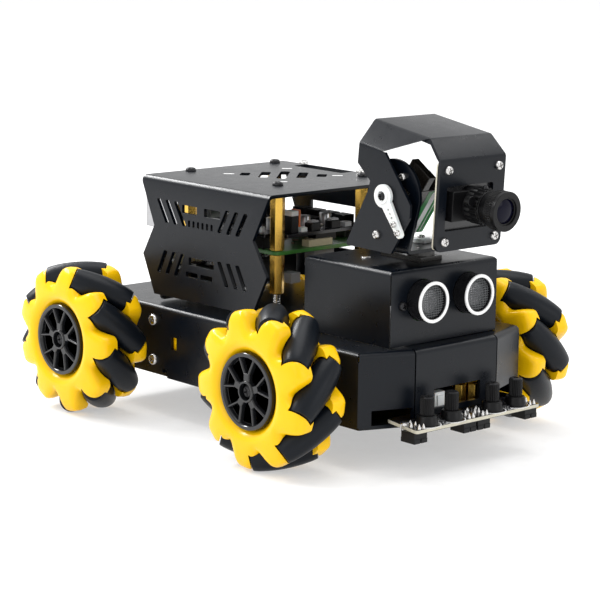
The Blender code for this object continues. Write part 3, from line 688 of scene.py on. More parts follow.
def add_housing():
    house, servo = Box("front_housing"), Box("pan_servo")
    outline = rectangle(house.x0, house.x1, house.y0, house.y1)
    inner = inset_polygon(outline, SHEET)
    inner = [*inner[:2], (inner[2][0], house.y1 + 6), (inner[3][0], house.y1 + 6)]
    cover = folded_box(outline, inner, house.z0, house.z1)
    eye_z = Box("sonar_module").middle.z + 0.5
    tools = [rod("Y", house.y0 - 6, house.y0 + 6, 8.5, (side * SONAR_X, 0, eye_z), 48) for side in SIDES]
    tools.append(
        box(servo.x0 - 0.4, servo.x1 + 0.4, servo.y0 + 4, servo.y1 - 4.2, house.z1 - 5, house.z1 + 5)
    )
    for side in SIDES:
        tools.append(corner_slit(side * house.x1, house.y0, (side, -1), house.z0 - 6, house.z1 - 1.6, 0.4))
    carve(cover, tools)
    add_sheet("front_housing", cover)
    seats = [((side * 23.9, house.y0, 64.3), (0, -1, 0), 20) for side in SIDES]
    add_screws("sonar_screws", seats, "black_steel", radius=1.9)
    seats = [((x, -47.1, house.z1 - 0.5), (0, 0, 1), turn) for x, turn in ((-15, 10), (15, 40))]
    add_screws("housing_screws", seats, kind="flat", radius=2.1)


def side_outline(cage):
    """Zigzag outline of the cage's side plates, (y, z), from the cage's own box."""
    top, rear, front = cage.z1, cage.y1, cage.y0
    outline = [(rear, top), (rear, top - 3), (rear - 8.2, top - 21.2), (rear - 0.4, top - 34.5)]
    outline += [(rear - 8.2, cage.z0), (front + 9.8, cage.z0 + 0.6), (front + 0.8, top - 33.8)]
    return outline + [(front + 9.7, top - 19.8), (front, top - 1.2), (front, top)]


def slanted(y_top, z_top, y_low, z_low, width=2.6):
    half = width / 2
    points = [(y_top - half, z_top), (y_top + half, z_top), (y_low + half, z_low), (y_low - half, z_low)]
    return rounded(points, 0.5, 2)


def level_slot(*sides):
    return rounded(rectangle(*sides), 0.4, 2)


def cage_vents(cage):
    """Cutters for the side plates' vents; above the board, +X has one wide opening for the ports instead."""
    lower, upper = [], []
    for k in range(3):
        step = 5.85 * k
        upper += [slanted(54.6 - step, 93.5, 48.5 - step, 83.5), slanted(8.3 - step, 93.5, 14 - step, 83.5)]
        lower += [slanted(49.5 - step, 71.4, 54.6 - step, 61.3), slanted(13.9 - step, 71.4, 8.5 - step, 61.3)]
    upper += [level_slot(13.1, 23.7, 89.2, 92.6), level_slot(28.5, 38.4, 89.2, 92.6)]
    upper += [level_slot(18 + 3 * k, 19.4 + 3 * k, 83.6, 86.4) for k in range(6)]
    lower += [level_slot(17.2, 33.9, 67.2, 70.6), level_slot(18.2, 26, 62, 64.2)]
    lower.append(level_slot(28, 35.9, 62, 64.2))
    vents = [prism(outline, "X", cage.x0 - 9, cage.x1 + 9) for outline in lower]
    vents += [prism(outline, "X", cage.x0 - 9, 0) for outline in upper]
    vents.append(prism(level_slot(14, 47, 76.5, 86.8), "X", 0, cage.x1 + 9))
    return vents


def diagonal_row(top):
    """Slots across the roof in a diagonal row, each along the other diagonal."""
    shells = []
    row = ((-5.3, 39.9, 4.5), (0.3, 33.4, 9), (6.2, 27.8, 12), (12.4, 22.2, 9), (18.4, 16.3, 4.5))
    for x, y, half in row:
        sides = (-half, half, -SLOT_WIDTH / 2, SLOT_WIDTH / 2)
        slot = rounded_prism("Z", sides, 1.1, top - 4, top + 4, 4)
        slot.transform(shift((x, y, 0)) @ spin(SLOT_TURN))
        shells.append(slot)
    return shells


def capsule(length, width, steps=6):
    """A slot with round ends along the first axis, about the origin."""
    r = width / 2
    points = []
    for side, start in ((1, -90), (-1, 90)):
        for step in range(steps + 1):
            a, b = polar(r, radians(start + 180 * step / steps))
            points.append((side * (length / 2 - r) + a, b))
    return points


def add_cage():
    cage = Box("cage_cover")
    bend = 2.4
    sides = (cage.x0, cage.x1, cage.z0 - 5, cage.z1)
    sheet = write_mesh("cage", rounded_prism("Y", sides, [0, 0, bend, bend], cage.y0 - 5, cage.y1 + 5, 6))
    sides = (cage.x0 + SHEET, cage.x1 - SHEET, cage.z0 - 9, cage.z1 - SHEET)
    inner_bend = bend - SHEET
    carve(sheet, [rounded_prism("Y", sides, [0, 0, inner_bend, inner_bend], cage.y0 - 9, cage.y1 + 9, 6)])
    carve(sheet, [prism(side_outline(cage), "X", cage.x0 - 9, cage.x1 + 9)], "INTERSECT")
    notch = rounded_prism("Z", (31, 39, 17.5, 49), 1, cage.z1 - 4, cage.z1 + 4, 3)
    carve(sheet, [*cage_vents(cage), *diagonal_row(cage.z1), notch])
    add_sheet("cage_cover", sheet, bevel=0.18)
    marks = []
    for x, y in ((-10.6, 44.5), (23.3, 11.5), (21.7, 42.9), (-9, 11.4)):
        mark = prism(capsule(4.8, 1.5), "Z", cage.z1 + 0.02, cage.z1 + 0.09)
        mark.transform(shift((x, y, 0)) @ spin(-45))
        marks.append(mark)
    add_piece("cage_marks", marks, "white")
    seats = [((x, min(y, cage.y1 - 3.4), cage.z1), (0, 0, 1), 15) for x in HOLES_X for y in HOLES_Y]
    add_screws("cage_screws", seats, "black_steel", "dome", 2.4)
    seats = [((39.4, 51.5, cage.z1), (0, 0, 1), 15), ((39.4, 13.9, cage.z1), (0, 0, 1), 50)]
    add_screws("notch_screws", seats, radius=2.1)


# ---- sonar and line sensor

SONAR_Z = 65.7
LINE_BOARD_TOP = 20.2
LINE_BOARD_THICK = 1.6
KNOBS_X = (-25.4, -11.7, 11.7, 25.4)
SENSORS_X = (-31.6, -4, 4, 31.6)


def wire_screen(centre, radius, pitch=0.95, wire=0.17):
    """Two crossing rows of fine wires that fill a disc facing -Y."""
    x, y, z = centre
    wires = []
    count = int(radius / pitch)
    for k in range(-count, count + 1):
        offset = k * pitch
        half = sqrt(radius**2 - offset**2)
        wires.append(rod("X", -half, half, wire, (x, y, z + offset), 6))
        wires.append(rod("Z", -half, half, wire, (x + offset, y + wire, z), 6))
    return wires


def add_sonar():
    sonar = Box("sonar_module")
    front, back = sonar.y0, sonar.y1
    cans, rings, screens, cores = [], [], [], []
    for x in (-SONAR_X, SONAR_X):
        centre = (x, 0, SONAR_Z)
        cans.append(tube("Y", front + 0.5, back - 1.2, 8.25, 6.8, centre))
        cans.append(rod("Y", front + 3.6, front + 4.4, 6.8, centre, 40))
        rings.append(tube("Y", front, front + 0.9, 8.3, 7, centre))
        screens += wire_screen((x, front + 1.5, SONAR_Z), 6.6)
        core = [(front + 2.4, 0.8), (front + 2.2, 3.2), (front + 2.8, 4.8), (front + 4, 5)]
        cores.append(lathe(core, "Y", 32, centre))
    add_piece("sonar_cans", cans, "can", replaces="sonar_module")
    add_piece("sonar_rings", rings, "white")
    add_piece("sonar_screens", screens, "mesh")
    add_piece("sonar_cores", cores, "socket")
    board = box(sonar.x0, sonar.x1, back - 1.6, back, sonar.z0, sonar.z1)
    add_piece("sonar_board", [board], "board_green", bevel=0.1)
    places = (-SONAR_X, 0, SONAR_X)
    chips = [box(x - 4, x + 4, back - 0.1, back + 1.6, SONAR_Z - 3, SONAR_Z + 3) for x in places]
    add_piece("sonar_chips", chips, "dark", bevel=0.2)


def arc_band(centre, radius, width, start, sweep, z, thick=0.06, steps=20):
    """A flat printed arc lying on the board, in degrees."""
    angles = [radians(start + sweep * k / steps) for k in range(steps + 1)]
    outline = [polar(radius + width / 2, a) for a in angles]
    outline += [polar(radius - width / 2, a) for a in reversed(angles)]
    return prism([(centre[0] + x, centre[1] + y) for x, y in outline], "Z", z, z + thick)


def add_line_sensor():
    """Board under the nose with four trimmers on top and four sensors below."""
    sensor = Box("line_sensor_board")
    top, low = LINE_BOARD_TOP, LINE_BOARD_TOP - LINE_BOARD_THICK
    front_x, rear_x = 35.5, 31
    corners = [(-front_x, sensor.y0), (front_x, sensor.y0), (rear_x, sensor.y1), (-rear_x, sensor.y1)]
    outline = rounded(corners, 1)
    core = prism(inset_polygon(outline, 0.04), "Z", low + 0.1, top - 0.12)
    skins = [prism(outline, "Z", top - 0.14, top), prism(outline, "Z", low, low + 0.12)]
    add_piece("line_board_core", [core], "board_edge", replaces="line_sensor_board")
    add_piece("line_board_skins", skins, "board_black", slot="dark_plastic")
    add_line_knobs(sensor, top)
    add_line_board_parts(sensor.y0, top)
    shells, eyes, legs = [], [], []
    half = 3.8
    y0, y1 = sensor.y0 + 1.3, sensor.y0 + 9
    for x in SENSORS_X:
        shells.append(box(x - half + 0.2, x + half - 0.2, y0 + 0.2, y1 - 0.2, sensor.z0 + 1.6, low))
        for side in SIDES:
            middle = x + side * half / 2
            shells.append(box(middle - 1.7, middle + 1.7, y0, y1, sensor.z0, sensor.z0 + 2))
            eye = [(sensor.z0 + 0.02, 1.2), (sensor.z0 + 0.5, 1.3)]
            eyes.append(lathe(eye, "Z", 18, (middle, (y0 + y1) / 2, 0)))
        legs += [rod("Z", low - 0.6, top + 0.7, 0.32, (x - 3 + 2 * k, y1 + 0.4, 0), 8) for k in range(4)]
    add_piece("line_sensor_shells", shells, "dark", bevel=0.25)
    add_piece("line_sensor_eyes", eyes, "lens")
    add_piece("line_sensor_legs", legs, "steel")


def add_line_knobs(sensor, top):
    y, high = sensor.y0 + 4.6, sensor.z1
    base = [(top, 4.5), (top + 1.6, 4.5), (top + 2, 4.2), (top + 3.4, 4.1), (top + 3.9, 3.7)]
    cap = [(high - 0.6, 2.6), (high - 0.1, 2.5), (high, 2.2), (high, 0.9), (high - 0.7, 0.8)]
    knobs, caps, arcs, tabs = [], [], [], []
    for x in KNOBS_X:
        centre = (x, y, 0)
        knobs += [lathe(base, "Z", 36, centre), knurled("Z", top + 3.9, high - 0.5, 2.8, 0.28, 22, centre)]
        caps.append(lathe(cap, "Z", 28, centre))
        arcs += [arc_band(centre, 5.7, 0.45, 190, 150, top), arc_band(centre, 6.7, 0.3, 205, 50, top)]
        tabs += [chip(x + side * 5, y, top, 1.6, 2.2, 0.5) for side in SIDES]
    add_piece("line_knobs", knobs, "dark", bevel=0.12)
    add_piece("line_knob_caps", caps, "black_steel", slot="dark_plastic")
    add_piece("line_knob_scales", arcs, "white")
    add_piece("line_knob_tabs", tabs, "socket", bevel=0.12)


def add_line_board_parts(front, top):
    """Resistors with their printed frames, solder pins and the two fixing studs."""
    frames, tabs, pins = [], [], []
    for x in (-18.5, 18.5):
        for level in (0.5, 3.3, 6.1):
            frames.append(box(x - 1.6, x + 1.6, front + level, front + level + 0.25, top, top + 0.06))
        for level in (1.9, 4.7):
            tabs += [chip(x + side * 0.7, front + level, top, 0.6, 1.2, 0.5) for side in SIDES]
    solder = [(top, 0.9), (top + 0.5, 0.9), (top + 1.1, 0.45), (top + 1.5, 0.15)]
    spike = [(top, 0.8), (top + 0.4, 0.7), (top + 1.3, 0.4), (top + 1.9, 0.12)]
    stud = [(top, 2), (top + 0.9, 1.9), (top + 1.3, 1.2)]
    for side in SIDES:
        # Profile, segments, x and distance behind the board's front edge.
        kinds = [(solder, 14, side * x, 9.4) for x in (2.5, 7.5, 16.2, 21, 29.5)]
        kinds += [(spike, 12, side * x * 0.97, level) for x in (2.8, 5.2, 31.5, 33.9) for level in (1.2, 5.6)]
        kinds.append((stud, 20, side * 32.2, 9.6))
        pins += [lathe(profile, "Z", count, (x, front + depth, 0)) for profile, count, x, depth in kinds]
    add_piece("line_board_print", frames, "white")
    add_piece("line_board_tabs", tabs, "socket", bevel=0.1)
    add_piece("line_board_pins", pins, "steel")


# ---- boards and posts

CARD_LOW = 73.4
CARD_THICK = 1.6
DRIVER_LOW = 80
SOCKETS_REAR = 91.8


def add_posts():
    """Brass hexagonal posts on threaded steel studs."""
    board = Box("computer_board")
    posts, studs = [], []
    for x in HOLES_X:
        for y in HOLES_Y:
            posts += [hex_post(x, y, low, high, 3.17, 30) for low, high in ((56.6, 73.3), (75.1, board.z1))]
            studs.append(rod("Z", board.z0, 57, 1.5, (x, y, 0), 20))
            for level in range(8):
                height = board.z0 + 0.8 + level
                thread = [(height, 1.45), (height + 0.3, 1.72), (height + 0.6, 1.45)]
                studs.append(lathe(thread, "Z", 20, (x, y, 0)))
    add_piece("posts", posts, "brass", bevel=0.25)
    add_piece("post_studs", studs, "steel")


def add_nose_parts():
    """Brass posts and a plug seen through the window in the base's front wall."""
    posts = [hex_post(x, y, 20.3, 28.2, 2.75) for x, y in ((15.2, -80), (10.5, -77))]
    add_piece("nose_posts", posts, "brass", bevel=0.2)
    plug = [box(-9.3, -3.6, -82.5, -79, 20.4, 28.3), box(-8.3, -4.6, -83.3, -82.3, 21.4, 27)]
    add_piece("nose_plug", plug, "nylon", bevel=0.25)


def add_computer():
    low, top = CARD_LOW, CARD_LOW + CARD_THICK
    board = rounded_prism("Z", (-21, 35, 0.8, 85.8), 3, low, top)
    add_piece("computer_card", [board], "board_green", replaces="computer_board", bevel=0.12)
    chips = [
        chip(8.5, 38.5, top, 15, 15, 1.6), chip(25, 41, top, 12, 10, 1.2),
        chip(26, 59, top, 9, 9, 1.2), chip(30, 24, top, 6, 6, 1),
        chip(-8, 30, low - 1.2, 9, 12, 1.2), chip(14, 25, low - 1, 14, 9, 1),
    ]
    add_piece("computer_chips", chips, "dark", bevel=0.2)
    small = []
    for row in range(9):
        for column in range(6):
            if (row + column) % 3 < 2:
                size = 0.5 + 0.35 * ((row * 5 + column * 3) % 3)
                x, tall = -8 + 7 * column, 0.5 + 0.3 * (column % 2)
                small.append(chip(x, 13 + 6.2 * row, top, 2 * size, size + 0.4, tall))
                small.append(chip(x - 4 + column, 16 + 6 * row, low - 0.9, 2 * size, size + 0.3, 0.9))
    add_piece("computer_components", small, "cream", bevel=0.1)
    sockets, tongues = [], []
    for x0, x1, z1 in ((-19.5, -3.5, 89.5), (-0.7, 13.9, 91), (17.1, 31.7, 91)):
        shell = write_mesh("socket", box(x0, x1, 69, SOCKETS_REAR, top, z1))
        levels = [(top + 1.2, z1 - 1.2)] if z1 < 90 else [(top + 1.2, top + 6.6), (top + 8.6, z1 - 1.2)]
        carve(shell, [box(x0 + 1, x1 - 1, 75, 99, a, b) for a, b in levels])
        sockets.append(as_bmesh(shell))
        middles = [(a + b) / 2 for a, b in levels]
        tongues += [box(x0 + 2.2, x1 - 2.2, 74.8, 90, z - 0.9, z + 0.9) for z in middles]
    sockets.append(box(29, 37.2, 12, 21, top, top + 3))
    add_piece("computer_sockets", sockets, "socket", bevel=0.2)
    add_piece("computer_socket_tongues", tongues, "dark", bevel=0.15)
    add_piece("computer_ribbon_socket", [box(-1.5, 12.2, 2, 6.6, top, top + 3)], "cream", bevel=0.2)
    lower = [box(-9, -3.4, 5, 12, 59.5, 64), box(4, 16, 5, 11, low - 8, low)]
    add_piece("computer_lower_sockets", lower, "grey", bevel=0.3)
    header = [box(-20.2, -15.2, 10.3, 58, top, DRIVER_LOW)]
    for k in range(20):
        header += [chip(-17.7 + side * 1.27, 12.32 + 2.3 * k, low - 1.6, 0.64, 0.64, 1.6) for side in SIDES]
    add_piece("computer_header", header, "dark", bevel=0.1)


def add_expansion():
    """Driver board on the computer's header, with its parts; dark inside the cage."""
    low, top = DRIVER_LOW, DRIVER_LOW + 1.5
    outline = [(-13.5, 2.3), (27.5, 2.3), (27.5, 9.3), (34.5, 9.3), (34.5, 58.3), (-20.5, 58.3)]
    board = prism(rounded(outline + [(-20.5, 9.3), (-13.5, 9.3)], 0.8, 3), "Z", low, top)
    add_piece("driver_card", [board], "board_black", replaces="expansion_board", bevel=0.1)
    sizes = (
        (3.6, 5.4, 5.4, 4.4, 3.4), (15.2, 5.4, 5.4, 4.4, 3.4), (7, 28.5, 13, 13, 2.2),
        (24, 28, 5, 9, 1.4), (24, 42, 5, 9, 1.4), (-7, 42, 8, 11, 3.5),
        (6.5, 50, 14, 6, 9), (21, 52, 10, 7, 8), (-7.8, 6.5, 4, 5, 7.3),
    )
    blocks = [chip(x, y, top, length, width, tall) for x, y, length, width, tall in sizes]
    blocks.append(chip(9.7, 6, low - 3.2, 12, 5, 3.2))
    blocks += [box(28.4, 34.2, 12 + 9 * k, 19.4 + 9 * k, top, top + 3.4) for k in range(4)]
    add_piece("driver_blocks", blocks, "dark", bevel=0.3)
    buttons = [chip(x, 5.4, top + 3.4, 4.2, 3.2, 0.9) for x in (3.6, 15.2)]
    add_piece("driver_buttons", [*buttons, chip(22.5, 5.2, top, 4, 3.6, 2.2)], "grey", bevel=0.25)
    whites = [chip(-7.8, 6.5, top + 7.2, 4, 5, 2.2), chip(-2.75, 5.1, top, 3.5, 3, 2)]
    whites += [chip(-3.5 + 4.6 * k, 12.5, top, 2, 1.2, 0.8) for k in range(6)]
    whites += [chip(-18, 14 + 4 * k, top, 2.2, 2.2, 2.6) for k in range(3)]
    add_piece("driver_connectors", whites, "nylon", bevel=0.25)
    can = [(top, 2.6), (top + 4.6, 2.6), (top + 5, 2.3)]
    places = ((7.5, 15), (20.5, 16), (-8.5, 18), (-9, 29))
    add_piece("driver_capacitors", [lathe(can, "Z", 24, (x, y, 0)) for x, y in places], "socket")
    add_piece("driver_fuse", [chip(-3.2, 8.6, top, 1.1, 5, 9.3)], "orange", bevel=0.3)


def add_power_board():
    """Upright board across the rear of the cage, under the computer, with its connectors."""
    cage = Box("cage_cover")
    y, x0, x1 = cage.y1 - 10, cage.x0 + 3, cage.x1 - 3
    back = y + 1.6
    panel = rounded_prism("Y", (x0, x1, 48.6, 72.4), 1.5, y, back)
    add_piece("power_board", [panel], "board_black", bevel=0.1)
    dark, pale, metal = [], [], []
    for k in range(6):
        x = x0 + 8 + 12 * k
        dark.append(box(x - 4, x + 4, y - 5.5 - 1.5 * (k % 2), y, 51, 60 + 2 * (k % 3)))
        pale.append(box(x - 2.6, x + 2, y - 3.6, y, 64, 68.5))
        metal.append(rod("Y", y - 4, y, 1.5, (x + 5.6, 0, 66), 20))
        dark.append(box(x - 3.4, x + 3.4, back, back + 4.8, 52, 59))
        pale.append(box(x - 2.2, x + 2.2, back, back + 2.8, 63.5, 67.5))
    tiny = []
    for row in range(6):
        for column in range(14):
            if (2 * row + column) % 3:
                half = 0.7 + 0.35 * ((3 * row + column) % 3)
                x, z = x0 + 4 + 5.3 * column, 50 + 4 * row
                tiny.append(box(x - half, x + half, y - 2.4 - half, y, z - 0.6 * half, z + 0.8 * half))
    add_piece("power_board_parts", tiny, "white", bevel=0.1)
    add_piece("power_board_blocks", dark, "dark", bevel=0.3)
    add_piece("power_board_connectors", pale, "cream", bevel=0.25)
    add_piece("power_board_cans", metal, "socket")


# ---- camera head

PIVOT, _ = joint_place("camera_tilt")
_, LENS_AXIS = joint_place("lens_focus")
TILT = shift(PIVOT) @ Matrix.Rotation(atan(LENS_AXIS.z / LENS_AXIS.y), 4, "X")
TILT_TURN = TILT.to_3x3()
HOOD_SHEET = 1.2
HOOD_X = Box("camera_hood").x1
BEND_R = 2.4
ROOF_X = 17
HOOD_REAR_Y = 16.3
ROOF_REAR_Z = 27.7
SIDE_BEND_REAR_Z = 18.8
ROOF_FRONT = (-14.7, 24.3)
FRONT_BEND = (-22.5, 16.6)
FOOT_Z = -19.4
PLATE_X = 18.4
WEDGE_LOW = (2.6, 17.3)
CARD_SCREWS = (-14.1, 14.1)
LENS_TIP_Y = -41.7
LENS_R = 7.9
LENS_Z = -1.5
BRACKET_X = 20.5
BRACKET_LOW = 84.2
SERVO_LEAN = radians(34)
SERVO_HALF = 5.9


def hood_solid(inset):
    """The folded hood about the tilt axis as a solid; the inner one is drawn in by the sheet."""
    rear, low = (32, -48) if inset else (24, -40)
    side = HOOD_X - inset
    bm = box(-side, side, FRONT_BEND[0] + inset, rear, low, 40)
    roof_front = Vector((ROOF_X, *ROOF_FRONT))
    roof_rear = Vector((ROOF_X, HOOD_REAR_Y, ROOF_REAR_Z))
    side_rear = Vector((HOOD_X, HOOD_REAR_Y, SIDE_BEND_REAR_Z))
    front_low = Vector((0, *FRONT_BEND))
    along = roof_rear - roof_front
    slope = Vector((0, *ROOF_FRONT)) - front_low
    roof = Vector((0, -along.z, along.y)).normalized()
    front_slope = Vector((0, -slope.z, slope.y)).normalized()
    side_slope = (side_rear - roof_rear).cross(along).normalized()
    planes = [(roof_rear - roof * inset, roof), (roof_front - front_slope * inset, front_slope)]
    folds = [(roof_front, roof, front_slope), (front_low, front_slope, Vector((0, -1, 0)))]
    for turn in (1, -1):
        mirror = Matrix.Diagonal((turn, 1, 1))
        slope_out = mirror @ side_slope
        planes.append((mirror @ roof_rear - slope_out * inset, slope_out))
        folds.append((mirror @ roof_rear, roof, slope_out))
        folds.append((mirror @ side_rear, slope_out, Vector((turn, 0, 0))))
    for point, first, second in folds:
        centre = point - (first + second) * (BEND_R / (1 + first.dot(second)))
        for step in (0, 0.2, 0.4, 0.6, 0.8, 1):
            normal = first.slerp(second, step)
            planes.append((centre + normal * (BEND_R - inset), normal))
    for point, normal in planes:
        geometry = [*bm.verts, *bm.edges, *bm.faces]
        bmesh.ops.bisect_plane(bm, geom=geometry, plane_co=point, plane_no=normal, clear_outer=True)
        bmesh.ops.holes_fill(bm, edges=bm.edges)
    return bm


def corner_wedge(side):
    """Cutter for the open corner between the front slope and a side slope of the hood."""
    rings = []
    for z in (WEDGE_LOW[1] - 0.5, ROOF_FRONT[1] + 1):
        share = (z - WEDGE_LOW[1]) / (ROOF_FRONT[1] - WEDGE_LOW[1])
        x = PLATE_X + (ROOF_X - PLATE_X) * share
        y = WEDGE_LOW[0] + (ROOF_FRONT[0] - WEDGE_LOW[0]) * share
        rings.append([(side * a, b, z) for a, b in ((x, y), (60, y), (60, -60), (x, -60))])
    return loft(rings)


def trim(obj, around, keep):
    """Cut the object with a box that has a hole where the kept prism stands."""
    cutter = write_mesh("around", around)
    carve(cutter, [keep])
    carve(obj, [as_bmesh(cutter)])


def add_hood():
    hood = write_mesh("hood", hood_solid(0))
    carve(hood, [hood_solid(HOOD_SHEET)])
    side_plate = [(HOOD_REAR_Y, 18.6), (16.6, 10.6), (8.3, 4), (21.2, -23.3)]
    side_plate += [(-4.8, -22.4), (-14, -6.6), (-14, -1.6), (WEDGE_LOW[0], 18)]
    side_plate = rounded(side_plate, [0, 0.5, 1, 0.8, 0.8, 1, 1.5, 0], 4)
    for side in SIDES:
        low, high = sorted((side * PLATE_X, side * (HOOD_X + 5)))
        keep = prism(side_plate, "X", low - 1, high + 1)
        trim(hood, box(low, high, -60, 60, -60, WEDGE_LOW[1] - 0.3), keep)
        carve(hood, [corner_wedge(side)])
    carve(hood, [box(-60, 60, HOOD_REAR_Y, 60, WEDGE_LOW[1] - 0.4, 60)])
    keep = rounded_prism("Y", (-PLATE_X, PLATE_X, FOOT_Z, ROOF_REAR_Z), [3, 3, 0, 0], -70, 0)
    trim(hood, box(-60, 60, -60, -18, -60, FRONT_BEND[1] - 0.2), keep)
    window = rounded_prism("Y", (-14, 12, LENS_Z - 9.9, LENS_Z + 7.7), 0.8, -40, -10)
    carve(hood, [window, rod("X", -40, -20, 2.8, segments=28), rod("X", 20, 40, 1.8, segments=28)])
    bm = as_bmesh(hood)
    bm.transform(TILT)
    add_sheet("camera_hood", write_mesh("hood", bm), "tilt_head", 0.15)
    facing = TILT_TURN @ Vector((0, -1, 0))
    places = [Vector((x, FRONT_BEND[0], z - 1.4)) for x in CARD_SCREWS for z in CARD_SCREWS]
    seats = [(TILT @ place, facing, 20) for place in places]
    add_screws("camera_plate_screws", seats, radius=1.9, body="tilt_head")
    seats = [((side * HOOD_X, PIVOT.y + 4.1, PIVOT.z - 15.9), (side, 0, 0), 30) for side in SIDES]
    add_screws("hood_foot_screws", seats, radius=1.8, body="tilt_head")


def add_tilt_servo_horn():
    outer = -HOOD_X - 0.3
    reach = Vector((-10.2, -13.4))
    along = reach.normalized()
    across = Vector((-along.y, along.x))
    outline = []
    for step in range(25):
        a, b = polar(4.6, radians(-56 + 292 * step / 24))
        outline.append(across * a - along * b)
    for step in range(13):
        a, b = polar(1.7, radians(15 * step))
        outline.append(reach + along * b - across * a)
    arm = write_mesh("arm", prism(outline, "X", outer - 1.4, outer))
    carve(arm, [rod("X", outer - 9, outer + 9, 0.55, (0, *(along * d)), 12) for d in (6, 7.8, 9.6)])
    shells = [as_bmesh(arm), tube("X", outer - 2, outer - 0.4, 3.2, 1.9)]
    add_piece("tilt_horn_arm", shells, "nylon", "tilt_head", TILT, replaces="tilt_horn", bevel=0.25)
    seats = [(TILT @ Vector((outer - 1, 0, 0)), (-1, 0, 0), 10)]
    add_screws("tilt_horn_centre_screw", seats, "black_steel", radius=1.7, body="tilt_head")
    seats = [(TILT @ Vector((outer - 1.3, *(reach - along * d))), (-1, 0, 0), 35) for d in (0.6, 4.4)]
    add_screws("tilt_horn_end_screw", seats, radius=1.3, body="tilt_head")


def add_camera_unit():
    back = FRONT_BEND[0] + HOOD_SHEET + 0.3
    centre = (0, 0, LENS_Z)
    outline = rounded(rectangle(-18.2, 18.2, FOOT_Z + 0.7, FRONT_BEND[1] - 1), 1.5)
    core = prism(outline, "Y", back + 0.2, back + 0.9)
    skins = [prism(inset_polygon(outline, 0.1), "Y", y, y + 0.15) for y in (back + 0.1, back + 0.85)]
    add_piece("camera_card_core", [core], "board_edge", "tilt_head", TILT, replaces="camera_module")
    add_piece("camera_card_skins", skins, "board_black", "tilt_head", TILT, slot="dark_plastic")
    neck = [(back + 1, 7), (-27.6, 7), (-28, 6.7), (-32.5, 6.7), (-32.5, 5.9), (-25, 5.9)]
    parts = [
        box(-12.5, 9, -24.6, back + 1.2, LENS_Z - 6, LENS_Z + 5.8),
        box(-11, -5, back + 0.9, back + 3.4, LENS_Z - 4, LENS_Z + 4),
        lathe(neck, "Y", 48, centre),
        knurled("Y", -31.8, -25.2, 7.25, 0.5, 20, centre),
        lathe([(-31.6, 1), (-31.6, 2), (-29, 2)], "Y", 20, (-9.3, 0, LENS_Z + 3.2)),
    ]
    add_piece("camera_holder", parts, "dark", "tilt_head", TILT, bevel=0.25)
    seats = [(TILT @ Vector((0, -29.5, LENS_Z + 6.8)), TILT_TURN @ Vector((0, 0, 1)), 0)]
    add_screws("camera_lock_screw", seats, "black_steel", "dome", 1.1, "tilt_head")
    front = LENS_TIP_Y
    shells = [
        lathe([(-25.2, 5.4), (-32.8, 5.4), (-33, 6.7), (-35.9, 6.9), (-36.2, 6.4)], "Y", 56, centre),
        tube("Y", front, front + 1.4, LENS_R, 5.5, centre, 72),
        tube("Y", front + 1.2, -36, LENS_R - 0.2, 5.2, centre, 64),
        knurled("Y", front + 2, -36.6, LENS_R, 0.25, 60, centre),
        tube("Y", front + 0.7, front + 1.6, 5.7, 4.9, centre, 64),
    ]
    add_piece("lens_barrel_rings", shells, "dark", "lens", TILT, slot="lens_black", replaces="lens_barrel")
    dome = [(front + 4, 5), (front + 1.5, 5), (front + 1.1, 4.2), (front + 0.85, 3)]
    dome += [(front + 0.7, 1.6), (front + 0.65, 0.4)]
    add_piece("lens_front_glass", [lathe(dome, "Y", 64, centre)], "lens", "lens", TILT, smooth=60)


def servo_point(along, across):
    """World (y, z) of a point in the tilt servo's own plane, measured from its output axis."""
    y = PIVOT.y + along * sin(SERVO_LEAN) + across * cos(SERVO_LEAN)
    z = PIVOT.z - along * cos(SERVO_LEAN) + across * sin(SERVO_LEAN)
    return y, z


def servo_block(x0, x1, start, end, half=SERVO_HALF):
    """A box square to the leaning servo, from start to end along it."""
    return prism([servo_point(*corner) for corner in rectangle(start, end, -half, half)], "X", x0, x1)


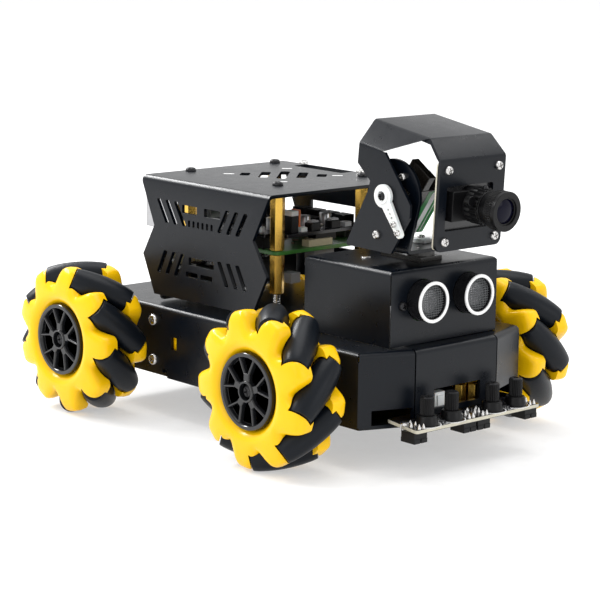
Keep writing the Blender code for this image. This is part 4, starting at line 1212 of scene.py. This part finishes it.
def add_bracket():
    pan_y = joint_place("camera_pan")[0].y
    top = BRACKET_LOW + SHEET
    x = BRACKET_X - SHEET
    sides = (-BRACKET_X, BRACKET_X, BRACKET_LOW, 140)
    channel = write_mesh("channel", rounded_prism("Y", sides, [2, 2, 0, 0], -90, -50))
    carve(channel, [rounded_prism("Y", (-x, x, top, 150), [0.5, 0.5, 0, 0], -95, -45, 4)])
    round_top = [polar(14.3, radians(a)) for a in range(-10, 191, 10)]
    outline = [(-76, BRACKET_LOW - 1), (-54, BRACKET_LOW - 1)]
    outline += [(PIVOT.y + a, PIVOT.z + b) for a, b in round_top]
    carve(channel, [prism(outline, "X", -30, 30)], "INTERSECT")
    carve(channel, [servo_block(-30, -10, -6.4, 17.4, 6.4), rod("Z", 80, 90, 2.7, (0, pan_y, 0))])
    add_sheet("pan_bracket", channel, "pan_head", 0.15)
    pin = rod("X", 19.5, Box("pan_bracket").x1, 1.5, (0, PIVOT.y, PIVOT.z), 20)
    add_piece("tilt_pin", [pin], "steel", "pan_head", bevel=0.15)
    arm = prism(rounded([(-2.6, -4), (16.5, -2.6), (16.5, 2.6), (-2.6, 4)], 1.2), "Z", top, top + 1.5)
    arm.transform(shift((0, pan_y, 0)))
    disc = lathe([(top, 3.6), (top + 1.6, 3.6), (top + 1.9, 3.3)], "Z", 28, (0, pan_y, 0))
    add_piece("pan_horn", [disc, arm], "nylon", "pan_head", bevel=0.2)
    seats = [((-BRACKET_X, PIVOT.y - 5.2, PIVOT.z + 7.7), (-1, 0, 0), 30)]
    seats += [((x, pan_y, top + 1.5), (0, 0, 1), 30) for x in (0, 13)]
    add_screws("bracket_screws", seats, radius=1.6, body="pan_head")


def add_servo():
    flange_x = -BRACKET_X + SHEET + 0.3
    parts = [servo_block(-22.6, 0.6, -6, 17), servo_block(flange_x, flange_x + 2.3, -10.4, 21.6)]
    parts.append(servo_block(-13, -9.4, -12.8, -5.8))
    add_piece("tilt_servo_case", parts, "servo", "pan_head", replaces="tilt_servo", bevel=0.35)
    spline = rod("X", -26, -22, 2.3, (0, PIVOT.y, PIVOT.z), 20)
    add_piece("tilt_servo_spline", [spline], "nylon", "pan_head")
    label = servo_block(-8.6, 0.3, -5.2, 16.6, SERVO_HALF + 0.1)
    add_piece("tilt_servo_label", [label], "label", "pan_head", bevel=0.05)
    stripes = [servo_block(x0, x1, -4.6, 16.2, SERVO_HALF + 0.16) for x0, x1 in ((-6.2, -3.6), (-2.2, -1.8))]
    add_piece("tilt_servo_stripes", stripes, "white", "pan_head")


# ---- CAD nodes that stay


def dress(node, finish):
    """Give a CAD node its finish and eased edges."""
    obj = bpy.data.objects[node]
    obj.data.materials.clear()
    obj.data.materials.append(FINISH[finish][0])
    ease_edges(obj, 0.3, 40)


# ---- main

add_camera()
add_finishes()
add_studio()
add_wheels()
add_rollers()
add_base()
add_housing()
add_cage()
add_sonar()
add_line_sensor()
add_posts()
add_nose_parts()
add_computer()
add_expansion()
add_power_board()
add_hood()
add_tilt_servo_horn()
add_camera_unit()
add_bracket()
add_servo()
for kept_node, kept_finish in (("bottom_plate", "metal"), ("battery_pack", "dark"), ("pan_servo", "servo")):
    dress(kept_node, kept_finish)
for wheel_name in WHEEL_NAMES:
    dress("gearmotor_" + wheel_name, "yellow")
